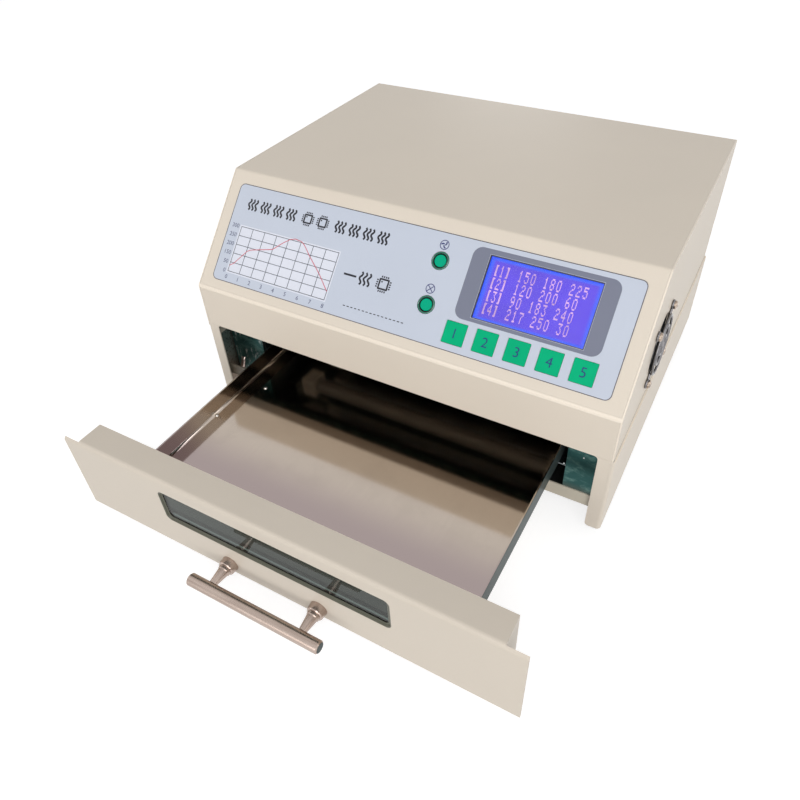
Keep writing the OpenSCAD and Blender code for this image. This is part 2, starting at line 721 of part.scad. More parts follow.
module indicator_bezels() color(black) placed() on_label() at_lamps() difference() {
    union() {
        translate([0, 0, -sheet - 4]) cylinder(d = lamp_hole - 2 * hair, h = 4 + sheet + label_t / 2);
        translate([0, 0, -sheet - 2]) cylinder(d = lamp_hole + 3, h = 2);
    }
    translate([0, 0, -sheet - 5]) cylinder(r = lamp_r + hair, h = 8 + sheet);
}

// ---------------------------------------------------------------- deck

module electronics_deck() color("silver") placed() {
    block([-inner_x, deck_y, deck_z], [inner_x, deck_end, deck_top]);
    both_sides() block([inner_x - sheet, leg_y, pan_z + pan_lip - turn_h],
        [inner_x, leg_y + leg_len, deck_top]);
}

module transformer_core() color([0.3, 0.3, 0.32]) placed() difference() {
    core_block(core_w, 0, 0, core_h);
    for (x = [-1, 1]) translate([x * core_w / 4, 0, 0]) core_block(core_w / 6, 1, core_h / 6, core_h * 5 / 6);
}

// Block over the core's middle, longer than the core by extra at each end
module core_block(w, extra, low, high) block([core_x - w / 2, core_y - extra, deck_top + low],
    [core_x + w / 2, core_y + core_l + extra, deck_top + high]);

module transformer_coil() color([0.72, 0.45, 0.2]) placed() difference() {
    core_block(core_w * 2 / 3 - 4 * hair, coil_proud, core_h / 6 + 2 * hair, core_h * 5 / 6 - 2 * hair);
    core_block(core_w / 3 + 2 * hair, coil_proud + 1, 0, core_h);
}

module at_pillars() for (x = [-1, 1], y = [-1, 1]) translate([power_x + x * (power_w / 2 - pillar_in),
    power_y + power_l / 2 + y * (power_l / 2 - pillar_in), deck_top]) children();

module power_board() color(board_green) placed() {
    block([power_x - power_w / 2, power_y, power_top - board_t],
        [power_x + power_w / 2, power_y + power_l, power_top]);
    at_pillars() cylinder(r = pillar_r, h = pillar_h);
    for (i = [0:3]) translate([power_x - can_in + i * can_pitch, power_y + can_h, power_top])
        cylinder(r = can_r, h = can_h);
}

module triac_heatsink() color("silver") placed() on_power_board(8, power_l - 22) {
    cube([sink_w, fin_t, sink_h]);
    for (i = [0:5]) translate([i * (sink_w - fin_t) / 5, fin_t, 0]) cube([fin_t, fin_len, sink_h]);
}

module on_power_board(x, y) translate([power_x + x, power_y + y, power_top]) children();

module power_relays() color([0.15, 0.25, 0.5]) placed() {
    for (i = [0, 1]) on_power_board(-46 + i * 24, 36) cube(relay);
    on_power_board(-50, power_l - 18) cube(terminal_block);
}

// Two wires from the switch to the transformer, turned through a clip at each corner
module wiring_loom() color([0.7, 0.1, 0.1]) placed() for (i = [0, 1]) {
    run_z = deck_top + clip_w / 2;
    lane_y = deck_end - 16 + i * 5;
    x = switch_x - 3 + i * 6;
    end_x = core_x + core_w / 2 + 12 - i * 6;
    top_z = switch_z - 4;
    rod_y(wire_r, lane_y, rear_y - switch_d - 0.5, x, top_z);
    translate([x, lane_y, run_z]) cylinder(r = wire_r, h = top_z - run_z);
    rod_x(wire_r, end_x, x, lane_y, run_z);
    rod_y(wire_r, core_y + core_l + 10, lane_y, end_x, run_z);
    for (p = [[x, lane_y, top_z], [x, lane_y, run_z], [end_x, lane_y, run_z]])
        translate(p) cube(clip_w, center = true);
}

// ---------------------------------------------------------------- fans

module at_rear_fan() translate([0, rear_y - rear_fan_t, rear_fan_z]) rotate([-90, 0, 0]) children();

module at_side_fan(x = inner_x - side_fan_t)
    translate([x, side_fan_y, side_fan_z]) rotate([0, 90, 0]) children();

module exhaust_fan_frame() color(black) placed() at_rear_fan()
    fan_frame(rear_fan_w, rear_fan_t, rear_fan_holes, rear_fan_w / 2 - 2);

module exhaust_impeller() color([0.12, 0.12, 0.13]) placed() at_rear_fan()
    impeller(rear_fan_w / 2 - 2, rear_fan_t, 7);

module exhaust_fan_guard() color("silver") placed() translate([0, cab_d, rear_fan_z]) rotate([-90, 0, 0])
    finger_guard(rear_fan_holes, rear_fan_w / 2 - 3);

module side_fan_frame() color(black) placed() at_side_fan()
    fan_frame(side_fan_w, side_fan_t, side_fan_holes, side_fan_w / 2 - 2);

module side_impeller() color([0.12, 0.12, 0.13]) placed() at_side_fan()
    impeller(side_fan_w / 2 - 2, side_fan_t, 7);

module side_fan_guard() color("silver") placed() at_side_fan(cover_x)
    finger_guard(side_fan_holes, side_fan_w / 2 - 3);

module side_fan_screws() color("silver") placed() at_side_fan(cover_x + wire_d) for (x = [-1, 1], y = [-1, 1])
    translate([x * side_fan_holes / 2, y * side_fan_holes / 2, 0]) small_screw(side_fan_t + 4);

// ---------------------------------------------------------------- rear fittings

module mains_inlet() color(black) placed() difference() {
    union() {
        centred(inlet_x, inlet_z, inlet_w, inlet_h, cab_d - inlet_d, inlet_face);
        centred(inlet_x, inlet_z, ear_w, inlet_h - 10, cab_d, inlet_face);
    }
    centred(inlet_x, socket_z, socket_w, socket_h, inlet_face - socket_d, inlet_face + 1);
    centred(inlet_x, fuse_z, fuse_w + 2 * fit_gap, fuse_h + 2 * fit_gap,
        inlet_face - fuse_d - 1, inlet_face + 1);
    for (x = [-1, 1]) rod_y(small_hole_r, cab_d - 1, inlet_face + 1, inlet_x + x * ear_gap / 2, inlet_z);
    pins();
}

// Two flat pins with the earth pin higher, between them
module pins() for (i = [-1, 0, 1])
    centred(inlet_x + i * pin_pitch, socket_z + (i == 0 ? pin_w / 2 : -pin_w / 4),
        pin_w / 2, pin_w, cab_d - inlet_d - 6, inlet_face - 5);

module inlet_pins() color("silver") placed() pins();

module fuse_drawer() color([0.14, 0.14, 0.15]) placed() difference() {
    centred(inlet_x, fuse_z, fuse_w, fuse_h, inlet_face - fuse_d, inlet_face);
    centred(inlet_x, fuse_z + 1, fuse_w - 4, fuse_h, inlet_face - fuse_d + 2, cab_d - 2);
    centred(inlet_x, fuse_z + fuse_h / 2, 6, 2.4, inlet_face - 1, inlet_face + 1);
}

module switch_housing() color(black) placed() difference() {
    union() {
        centred(switch_x, switch_z, switch_w, switch_h, rear_y - switch_d, cab_d + switch_rim);
        centred(switch_x, switch_z, switch_w + 2, switch_h + 2, cab_d, cab_d + switch_rim);
    }
    centred(switch_x, switch_z, switch_w - 2.4, switch_h - 2.4,
        rear_y - switch_d + 1.5, cab_d + switch_rim + 1);
    rod_x(pivot_r + spin_gap, switch_x - switch_w / 2 - hair, switch_x + switch_w / 2 + hair,
        pivot_y, switch_z);
}

module power_rocker() color([0.2, 0.2, 0.22]) placed() translate([switch_x, pivot_y, switch_z]) {
    rotate([rocker_tilt, 0, 0]) intersection() {
        translate([-switch_w / 2 + 1.5, -4, -switch_h / 2 + 2.6]) cube([switch_w - 3, 14, switch_h - 5.2]);
        difference() {
            rod_x(rocker_r, -switch_w, switch_w, -1, 0);
            rod_x(rocker_r * 1.6, -switch_w - 1, switch_w + 1, rocker_r * 2.1, 0);
        }
    }
    rod_x(pivot_r, -switch_w / 2 + 0.2, switch_w / 2 - 0.2, 0, 0);
}

module rear_screw(y, length) translate([0, y, 0]) rotate([-90, 0, 0]) small_screw(length);

module rear_screws() color("silver") placed() {
    for (x = rear_screw_x, z = rear_screw_z) translate([x, 0, z]) rear_screw(cab_d, 5);
    for (x = [-1, 1], z = [-1, 1]) translate([x * rear_fan_holes / 2, 0, rear_fan_z + z * rear_fan_holes / 2])
        rear_screw(cab_d + wire_d, 10);
    for (x = [-1, 1]) translate([inlet_x + x * ear_gap / 2, 0, inlet_z]) rear_screw(inlet_face, 8);
}

// ---------------------------------------------------------------- feet

module at_feet() both_sides() for (y = [foot_end, cab_d - foot_end])
    translate([cab_w / 2 - foot_in, y, 0]) children();

module rubber_feet() color([0.13, 0.13, 0.13]) placed() at_feet() rotate_extrude() polygon([
    [shank_r + screw_gap, 0], [foot_d / 2, 0], [foot_d / 2 - 1.5, -foot_h + 1], [foot_d / 2 - 2.5, -foot_h],
    [head_r + 0.6, -foot_h], [head_r + 0.6, -foot_h / 2], [shank_r + screw_gap, -foot_h / 2]]);

module foot_screws() color("silver") placed() at_feet() {
    translate([0, 0, -foot_h / 2]) mirror([0, 0, 1])
        pan_screw(shank_r, head_r, head_t, foot_h / 2 + 2 * sheet + 5);
    translate([0, 0, 2 * sheet]) difference() {
        cylinder(r = foot_nut_r, h = 3.2, $fn = 6);
        translate([0, 0, -1]) cylinder(r = shank_r - 0.1, h = 6);
    }
}

// ---------------------------------------------------------------- drawer

module at_window() translate([0, 0, window_low + window_h / 2]) rotate([90, 0, 0]) children();

// The drawer front is one sheet: flat face, folded rim along the top and a return at each end of it
module drawer_front() color(cream) placed() difference() {
    union() {
        difference() {
            block([-front_x, face_y, front_low], [front_x, plate_y, front_top]);
            translate([0, face_y, front_top]) rotate([0, 90, 0]) difference() {
                translate([-1, -1, -front_x - 1]) cube([1 + fold_r, 1 + fold_r, 2 * front_x + 2]);
                translate([fold_r, fold_r, -front_x - 2]) cylinder(r = fold_r, h = 2 * front_x + 4);
            }
        }
        intersection() {
            block([-rim_x, face_y, front_top - fold_r], [rim_x, plate_y + fold_r, front_top]);
            difference() {
                rod_x(fold_r, -rim_x, rim_x, face_y + fold_r, front_top - fold_r);
                rod_x(fold_r - front_t, -rim_x - 1, rim_x + 1, face_y + fold_r, front_top - fold_r);
            }
        }
        block([-rim_x, face_y + fold_r, front_top - front_t], [rim_x, face_y + rim_depth, front_top]);
        both_sides() block([rim_x - front_t, plate_y, bar_top + 1.5],
            [rim_x, face_y + rim_depth, front_top - front_t]);
    }
    at_window() pane(0, window_r, 1, -front_t - 1);
    for (x = post_x) rod_y(shank_r + screw_gap, face_y - 1, plate_y + 1, x, grip_z);
}

// Pane that reaches past the window's edges by extra, from back to front behind the drawer's sheet
module pane(extra, r, back, front)
    rounded_plate(window_w + 2 * extra, window_h + 2 * extra, r, -plate_y - back, -plate_y - front);

module window_glass() color([0.35, 0.42, 0.42, 0.5]) placed() at_window()
    pane(glass_lap, window_r, glass_t, 0);

module window_keeper() color(stainless) placed() at_window() difference() {
    pane(glass_lap + keeper_w, window_r + 2, glass_t + keeper_t, 0);
    pane(glass_lap + hair, window_r, glass_t, -1);
    pane(0, window_r, glass_t + keeper_t + 1, 0);
}

module drawer_tray() color(stainless) placed() difference() {
    tray_sheet();
    both_sides() for (x = tray_screw_x)
        rod_y(small_hole_r, plate_y - 1, plate_y + tray_t + 1, x, tray_z + tray_wall / 2);
}

module tray_sheet() {
    floor_top = tray_z + tray_t;
    wall_top = tray_z + tray_wall;
    block([-tray_x, well_y, tray_z], [tray_x, tray_end, floor_top]);
    block([-tray_x, tray_end - tray_t, tray_z], [tray_x, tray_end, wall_top]);
    block([-arm_x, well_y, tray_z], [arm_x, well_y + tray_t, tray_z + tray_wall / 3]);
    both_sides() {
        block([arm_x, plate_y, tray_z], [tray_x, well_y, floor_top]);
        block([tray_x - tray_t, plate_y, tray_z], [tray_x, tray_end, wall_top]);
        block([arm_x, plate_y, tray_z], [tray_x, plate_y + tray_t, wall_top]);
    }
}

module handle_bar() color(nickel) placed() translate([grip_x, grip_y, grip_z]) rotate([0, 90, 0])
    difference() {
        translate([0, 0, -grip_len / 2]) cylinder(d = grip_d, h = grip_len);
        for (m = [0, 1]) mirror([0, 0, m]) translate([0, 0, grip_len / 2 - 0.8]) difference() {
            translate([0, 0, 0]) cylinder(d = grip_d + 2, h = 2);
            translate([0, 0, -0.01]) cylinder(d1 = grip_d, d2 = grip_d - 2, h = 1.02);
        }
        for (x = [-1, 1]) translate([0, 0, x * post_gap / 2]) rotate([-90, 0, 0])
            cylinder(r = post_r, h = grip_d);
    }

module handle_posts() color(nickel) placed() for (x = post_x)
    translate([x, face_y, grip_z]) rotate([90, 0, 0]) difference() {
        rotate_extrude() polygon([[0, 0], [collar_d / 2, 0], [collar_d / 2, 0.8], [collar_d / 2 - 0.6, 2.2],
            [collar_d / 2 - 1.5, 4], [collar_d / 2 - 2, 5.4], [collar_d / 2 - 2.3, 6.2], [post_r + 1, 6.6],
            [post_r, grip_reach - grip_d / 2 - 0.5], [post_r, grip_reach], [0, grip_reach]]);
        translate([0, 0, -1]) cylinder(r = shank_r, h = grip_reach - grip_d / 2);
    }

module drawer_screws() color("silver") placed() {
    for (x = post_x) translate([x, plate_y, grip_z]) rotate([-90, 0, 0])
        pan_screw(shank_r, head_r, head_t, front_t + screw_bite);
    both_sides() for (x = tray_screw_x) translate([x, plate_y + tray_t, tray_z + tray_wall / 2])
        rotate([-90, 0, 0]) small_screw(tray_t);
}

side_panel_left();
side_panel_right();
front_crossbar();
base_pan();
top_cover();
rear_panel();
chamber_front();
chamber_shell();
chamber_rear_wall();
reflector();
heater_tubes();
heater_filaments();
heater_end_caps();
heater_brackets();
insulation_blanket();
drawer_runners();
temperature_probes();
label_panel();
display_window();
display_frame();
display_screen();
control_board();
board_spacers();
key_switches();
indicator_lamps();
indicator_bezels();
electronics_deck();
transformer_core();
transformer_coil();
power_board();
triac_heatsink();
power_relays();
wiring_loom();
exhaust_fan_frame();
exhaust_fan_guard();
exhaust_impeller();
side_fan_frame();
side_fan_guard();
side_fan_screws();
side_impeller();
mains_inlet();
inlet_pins();
fuse_drawer();
switch_housing();
power_rocker();
rear_screws();
rubber_feet();
foot_screws();
drawer_front();
window_glass();
window_keeper();
drawer_tray();
handle_bar();
handle_posts();
drawer_screws();
key_1();
key_2();
key_3();
key_4();
key_5();
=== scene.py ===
"""Looks of a bench reflow oven: its finishes, prints, wound parts and small fittings, laid over its fixed solids."""
from __future__ import annotations

import sys

import logging
import math
from collections.abc import Mapping, Sequence
from dataclasses import dataclass
from enum import Enum
from functools import cached_property
from typing import Union

import bmesh
import bpy
import numpy as np
from mathutils import Matrix, Vector


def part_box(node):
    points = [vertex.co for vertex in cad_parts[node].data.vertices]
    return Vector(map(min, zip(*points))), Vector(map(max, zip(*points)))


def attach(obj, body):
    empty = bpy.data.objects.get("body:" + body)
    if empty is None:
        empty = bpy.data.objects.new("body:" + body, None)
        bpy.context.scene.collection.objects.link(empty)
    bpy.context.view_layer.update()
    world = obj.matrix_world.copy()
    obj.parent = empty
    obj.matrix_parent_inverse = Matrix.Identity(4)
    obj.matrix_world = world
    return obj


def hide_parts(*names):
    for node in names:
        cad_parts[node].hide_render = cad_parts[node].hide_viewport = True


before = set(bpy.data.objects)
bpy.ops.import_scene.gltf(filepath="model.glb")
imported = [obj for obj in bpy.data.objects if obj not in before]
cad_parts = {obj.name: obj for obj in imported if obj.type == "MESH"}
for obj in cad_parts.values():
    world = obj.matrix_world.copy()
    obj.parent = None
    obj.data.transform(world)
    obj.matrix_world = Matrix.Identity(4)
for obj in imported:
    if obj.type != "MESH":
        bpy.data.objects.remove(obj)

LOG = logging.getLogger("reflow_oven")
Colour = tuple[float, float, float]
Point = tuple[float, float, float]
Plane = tuple[float, float, float, float]
"""A flat place a, b, c, d: all points where ax + by + cz = d, in metres."""

"""The material slot of each solid, by node."""

MIDDLE = -0.00115
"""Where the cabinet's middle lies across the frame, in metres."""

MM = 0.001
"""A millimetre in metres."""


def paint(red: float, green: float, blue: float) -> Colour:
    """Scene-linear colour of an 8-bit screen colour, by the screen's own transfer curve.

    Args:
        red: 0 to 255.
        green: 0 to 255.
        blue: 0 to 255.

    Returns:
        The linear colour.
    """
    share = np.array([red, green, blue]) / 255
    linear = np.where(share <= 0.04045, share / 12.92, ((share + 0.055) / 1.055) ** 2.4)
    return tuple(float(value) for value in linear)


def shade(colour: Colour, factor: float) -> Colour:
    """The colour made lighter or darker by a factor, kept at or under 1."""
    return tuple(min(1.0, value * factor) for value in colour)


class Body(str, Enum):
    """The bodies that move as one."""

    CABINET = "cabinet"
    DRAWER = "drawer"
    POWER_ROCKER = "power_rocker"
    KEY_1 = "key_1"
    KEY_2 = "key_2"
    KEY_3 = "key_3"
    KEY_4 = "key_4"
    KEY_5 = "key_5"


class Axis(Enum):
    """A direction in which a sheet was rolled or a bar was turned."""

    X = 0
    Y = 1
    Z = 2


# ---- Shader graph ----


class Reading:
    """What a node's socket gives; arithmetic on it adds Math nodes."""

    def __init__(self, graph: "Graph", socket: bpy.types.NodeSocket) -> None:
        """Wraps a socket of a graph."""
        self.graph = graph
        self.socket = socket

    def _math(self, operation: str, *values: "Number") -> "Reading":
        """One Math node with this operation on the values."""
        return self.graph.make("ShaderNodeMath", {"operation": operation}, values)

    def __add__(self, other: "Number") -> "Reading":
        """Sum."""
        return self._math("ADD", self, other)

    __radd__ = __add__

    def __sub__(self, other: "Number") -> "Reading":
        """Difference."""
        return self._math("SUBTRACT", self, other)

    def __rsub__(self, other: "Number") -> "Reading":
        """Reflected difference."""
        return self._math("SUBTRACT", other, self)

    def __mul__(self, other: "Number") -> "Reading":
        """Product."""
        return self._math("MULTIPLY", self, other)

    __rmul__ = __mul__

    def __truediv__(self, other: "Number") -> "Reading":
        """Quotient."""
        return self._math("DIVIDE", self, other)

    def __lt__(self, other: "Number") -> "Reading":
        """1 where this is less."""
        return self._math("LESS_THAN", self, other)

    def __gt__(self, other: "Number") -> "Reading":
        """1 where this is greater."""
        return self._math("GREATER_THAN", self, other)

    def __abs__(self) -> "Reading":
        """Size without sign."""
        return self._math("ABSOLUTE", self)

    def most(self, other: "Number") -> "Reading":
        """The larger of the two."""
        return self._math("MAXIMUM", self, other)

    def repeat(self) -> "Reading":
        """Its part after the decimal point."""
        return self._math("FRACT", self)

    def sine(self) -> "Reading":
        """Its sine."""
        return self._math("SINE", self)

    def ease(self, low: float, high: float) -> "Reading":
        """0 below low and 1 above high, with a smooth step between them."""
        return self.graph.make("ShaderNodeMapRange", {"interpolation_type": "SMOOTHSTEP"},
                               {"Value": self, "From Min": low, "From Max": high})


Number = Union[Reading, float, int]


class Graph:
    """The nodes of a material or a world, built round its one shader."""

    def __init__(self, owner: bpy.types.Material | bpy.types.World) -> None:
        """Turns on the owner's nodes and finds its shader.

        Args:
            owner: a new material or world.
        """
        owner.use_nodes = True
        self.tree = owner.node_tree
        self.shader = self.tree.nodes["Background" if isinstance(owner, bpy.types.World) else "Principled BSDF"]

    @cached_property
    def place(self) -> Reading:
        """The place on the object, in metres."""
        return self.make("ShaderNodeTexCoord", out="Object")

    def make(self, kind: str, settings: Mapping[str, object] | None = None,
             values: Sequence[object] | Mapping[str | int, object] = (), out: int | str = 0) -> Reading:
        """Adds a node: settings first, then what its sockets take.

        Args:
            kind: the node's type.
            settings: its own settings.
            values: numbers, colours or readings, in order or by socket.
            out: the output to read.

        Returns:
            The reading of that output.
        """
        node = self.tree.nodes.new(kind)
        for key, value in (settings or {}).items():
            setattr(node, key, value)
        pairs = values.items() if isinstance(values, Mapping) else enumerate(values)
        for key, value in pairs:
            self.feed(node.inputs[key], value)
        return Reading(self, node.outputs[out])

    def feed(self, socket: bpy.types.NodeSocket, value: object) -> None:
        """Links a reading to a socket, or sets the socket's own value.

        Args:
            socket: the socket to feed.
            value: a reading, number, colour or vector.
        """
        if isinstance(value, Reading):
            self.tree.links.new(value.socket, socket)
        elif socket.type == "RGBA" and len(value) == 3:
            socket.default_value = (*value, 1)
        else:
            socket.default_value = value

    def set(self, **sockets: object) -> None:
        """Feeds the shader's sockets; an underscore in a name stands for a space."""
        for name, value in sockets.items():
            self.feed(self.shader.inputs[name.replace("_", " ")], value)

    def spread(self, size: Sequence[float], turn: Sequence[float] = (0, 0, 0),
               centre: Sequence[float] = (0, 0, 0)) -> Reading:
        """Coordinates in which one unit is size millimetres along each axis, about a centre in metres.

        Args:
            size: millimetres to one unit, by axis.
            turn: turn about the axes in radians.
            centre: the middle in metres.

        Returns:
            The coordinates.
        """
        moved = self.make("ShaderNodeMapping", {"vector_type": "TEXTURE"},
                          {"Vector": self.place, "Location": centre, "Rotation": turn})
        return self.make("ShaderNodeMapping", {"vector_type": "POINT"},
                         {"Vector": moved, "Scale": tuple(1000 / value for value in size)})

    def noise(self, size: Sequence[float], detail: float = 2, rough: float = 0.5,
              turn: Sequence[float] = (0, 0, 0)) -> Reading:
        """Smooth noise from 0 to 1 whose features are size millimetres long."""
        return self.make("ShaderNodeTexNoise", {"noise_dimensions": "3D"}, {
            "Vector": self.spread(size, turn), "Scale": 1.0, "Detail": detail, "Roughness": rough}, "Fac")

    def axes(self, vector: Reading | None = None) -> tuple[Reading, Reading, Reading]:
        """The three numbers of a vector, or of the place in metres.

        Args:
            vector: the vector, where it isn't the place.

        Returns:
            Its three numbers.
        """
        parts = self.make("ShaderNodeSeparateXYZ", None, [vector or self.place])
        sockets = parts.socket.node.outputs
        return tuple(Reading(self, sockets[i]) for i in range(3))

    def blend(self, share: Number, low: object, high: object) -> Reading:
        """A colour that goes from low to high with share."""
        return self.make("ShaderNodeMix", {"data_type": "RGBA", "clamp_factor": True},
                         {0: share, 6: low, 7: high}, 2)

    def relief(self, height: Reading, depth: float) -> Reading:
        """A normal bumped by a height from 0 to 1 that stands for depth millimetres."""
        return self.make("ShaderNodeBump", None, {"Strength": 1.0, "Distance": depth / 1000, "Height": height})


# ---- Finishes ----


@dataclass(frozen=True)
class Finish:
    """A surface finish; its material is made once."""

    name: str

    def material(self) -> bpy.types.Material:
        """The material of this finish.

        Returns:
            The material, made at the first call.
        """
        found = bpy.data.materials.get(self.name)
        if found:
            return found
        made = bpy.data.materials.new(self.name)
        self.dress(Graph(made))
        return made

    def dress(self, graph: Graph) -> None:
        """Builds the shader; each finish has its own."""
        raise NotImplementedError


@dataclass(frozen=True)
class Enamel(Finish):
    """Stoved eggshell enamel on sheet: fine orange peel, a cloudy tone, duller high spots, and a painted highlight
    along the given folds.
    """

    tone: Colour
    gloss: float = 0.42
    peel: float = 0.010
    # Painted highlight: each pair of planes is a fold whose cream is lightened, made glossier and smoothed; the next
    # field is its reach in millimetres.
    folds: tuple[tuple[Plane, Plane], ...] = ()
    worn: float = 1.4

    def near_fold(self, graph: Graph) -> Reading:
        """The share of painted highlight along the folds: a lighter tone that stands in for the light a bend catches.

        A fold lies where two planes cross; each plane is (a, b, c, d) and a place's distance from it is
        |a|x| + by + cz - d|. The share is one less the sum of both squared distances, eased up to the highlight's reach squared.

        Args:
            graph: the material being drawn.

        Returns:
            The greatest share among the folds, from 0 to 1.
        """
        across, back, high = graph.axes()
        side = abs(across - MIDDLE)
        share: Reading | None = None
        for pair in self.folds:
            away = [side * a + back * b + high * c - d for a, b, c, d in pair]
            highlight_share = 1 - (away[0] * away[0] + away[1] * away[1]).ease(0, (self.worn * 1e-3) ** 2)
            share = highlight_share if share is None else share.most(highlight_share)
        return share

    def dress(self, graph: Graph) -> None:
        """Orange peel is 0.8 mm noise, and the tone drifts over 70 mm; along the folds the tone is lightened as a
        painted highlight.

        Args:
            graph: the graph being drawn.
        """
        peel = graph.noise((0.8, 0.8, 0.8), 2, 0.45)
        drift = graph.noise((70, 70, 70), 3, 0.55)
        speck = graph.noise((0.35, 0.35, 0.35), 1)
        tint = graph.blend(drift, shade(self.tone, 0.965), shade(self.tone, 1.03))
        rough = self.gloss + (peel - 0.5) * 0.16 + (drift - 0.5) * 0.08
        height = peel * self.peel
        # Painted highlight along the folds: a lighter tone, lower roughness and an eased bump.
        if self.folds:
            highlight_share = self.near_fold(graph)
            tint = graph.blend(highlight_share * 0.8, tint, shade(self.tone, 1.24))
            rough = rough - highlight_share * 0.16
            height = height - highlight_share * 0.55
        graph.set(Base_Color=graph.blend(speck.ease(0.62, 0.75) * 0.35, tint, shade(self.tone, 0.86)),
                  Roughness=rough, Specular_IOR_Level=0.3, Normal=graph.relief(height, 1.0))


@dataclass(frozen=True)
class BareInside(Enamel):
    """Enamel on the outside of a panel whose inside was left bare, darker and browner towards its foot."""

    inner: float = 0.1539
    behind: float = -0.0524
    bare: Colour = (0.30, 0.34, 0.32)
    stain: Colour = (0.20, 0.14, 0.10)

    def dress(self, graph: Graph) -> None:
        """The bare share is where the place is nearer the middle than inner and farther back than behind.

        Args:
            graph: the graph being drawn.
        """
        super().dress(graph)
        across, back, high = graph.axes()
        inside = (abs(across - MIDDLE) < self.inner) * (back > self.behind)
        cloud = graph.noise((7, 7, 12), 3, 0.6)
        mark = graph.noise((2, 1.6, 1.6), 3, 0.7).ease(0.52, 0.62)
        # Towards the foot the bare steel turns darker and browner, with cloudy patches.
        low = 1 - high.ease(0.018, 0.05)
        marked = graph.blend(mark, self.bare, shade(self.bare, 0.25))
        steel = graph.blend(low * 0.7 + cloud * 0.3, marked, self.stain)
        shader = graph.shader.inputs
        cover = Reading(graph, shader["Base Color"].links[0].from_socket)
        dull = Reading(graph, shader["Roughness"].links[0].from_socket)
        graph.set(Base_Color=graph.blend(inside, cover, steel), Metallic=inside * 0.85,
                  Roughness=dull * (1 - inside) + (0.3 + cloud * 0.2) * inside)


@dataclass(frozen=True)
class StainedEnamel(Enamel):
    """Enamel in a cream darkened as painted shade for the mouth, browner towards its left end."""

    edge: float = -0.122
    brown: Colour = (0.10, 0.08, 0.055)

    def dress(self, graph: Graph) -> None:
        """The brown share eases in to the left of edge.

        Args:
            graph: the graph being drawn.
        """
        super().dress(graph)
        across, _, _ = graph.axes()
        cover = Reading(graph, graph.shader.inputs["Base Color"].links[0].from_socket)
        mottle = 0.8 + graph.noise((3, 3, 3), 2) * 0.3
        share = (1 - across.ease(self.edge - 0.006, self.edge + 0.006)) * mottle
        graph.set(Base_Color=graph.blend(share, cover, self.brown))


@dataclass(frozen=True)
class Sheet(Finish):
    """Bare rolled metal: streaks along the grain, faint clouds and hairline scratches, with faces past outer painted
    dark as a reflection.
    """

    tone: Colour
    grain: Axis = Axis.X
    rough: float = 0.28
    streak: float = 0.12
    cloud: float = 0.14
    outer: float = 0.0
    outer_tone: Colour = (0.060, 0.078, 0.076)
    blush: Colour = paint(164, 150, 148)

    def dress(self, graph: Graph) -> None:
        """Streaks are noise drawn out 200 to 1 along the grain; faces past outer from the middle are darker, a painted
        dark reflection.

        Args:
            graph: the graph being drawn.
        """
        along = [0.3, 0.3, 0.3]
        along[self.grain.value] = 60.0
        fine = [0.08, 0.08, 0.08]
        fine[self.grain.value] = 14.0
        streaks = graph.noise(along, 3, 0.6)
        scratch = graph.noise(fine, 2, 0.5)
        cloud = graph.noise((28, 28, 28), 3, 0.6)
        tint = graph.blend(streaks, shade(self.tone, 1 - self.streak), shade(self.tone, 1 + self.streak))
        tint = graph.blend(cloud.ease(0.4, 0.7), tint, shade(self.tone, 1 - self.cloud))
        metal: float | Reading = 1.0
        # Painted reflection: faces past outer are dark, dull and not metallic, standing in for a dark reflection.
        if self.outer:
            front = graph.axes()[1].ease(-0.142, -0.108)
            tint = graph.blend(front, self.blush, tint)
            outside = abs(graph.axes()[0] - MIDDLE) > self.outer
            side = graph.blend(streaks, self.outer_tone, shade(self.outer_tone, 1.7))
            tint = graph.blend(outside, tint, side)
            metal = 1 - outside
            graph.set(Specular_IOR_Level=0.01)
        graph.set(Base_Color=tint, Metallic=metal,
                  Roughness=self.rough * (1 + (streaks - 0.5) * 0.7 + (cloud - 0.5) * 0.4),
                  Normal=graph.relief(streaks * 0.7 + scratch * 0.3, 0.0006 + 0.012 * self.rough))


@dataclass(frozen=True)
class Bulkhead(Finish):
    """Bright rolled sheet deep in the mouth: mottled dark green-blue as a painted reflection, browned near its foot,
    spotted with dross.
    """

    deep: Colour
    pale: Colour
    brown: Colour
    foot: float
    glint: Colour = (0.42, 0.46, 0.45)

    def dress(self, graph: Graph) -> None:
        """Ripples mottle the painted green-blue reflection, a smooth step in height brings in the brown, and the left
        end has painted glints.

        Args:
            graph: the graph being drawn.
        """
        ripple = graph.noise((9, 4, 5), 4, 0.65)
        pit = graph.noise((2.2, 2.2, 2.2), 2, 0.6)
        across, _, high = graph.axes()
        # Painted reflection: the green-blue mottle of the sheet.
        mottle = graph.blend(ripple.ease(0.45, 0.75), self.deep, self.pale)
        # Painted glints: pale spots towards the left end.
        painted_glint_share = graph.noise((2.5, 3, 9), 3, 0.7).ease(0.54, 0.68) * (1 - across.ease(-0.13, -0.11))
        mottle = graph.blend(painted_glint_share, mottle, self.glint)
        low = 1 - high.ease(self.foot, self.foot + 0.012)
        graph.set(Base_Color=graph.blend(low * 0.75, mottle, self.brown), Metallic=0.85,
                  Roughness=0.34 + (pit - 0.5) * 0.3, Normal=graph.relief(ripple * 0.75 + pit * 0.25, 0.05))


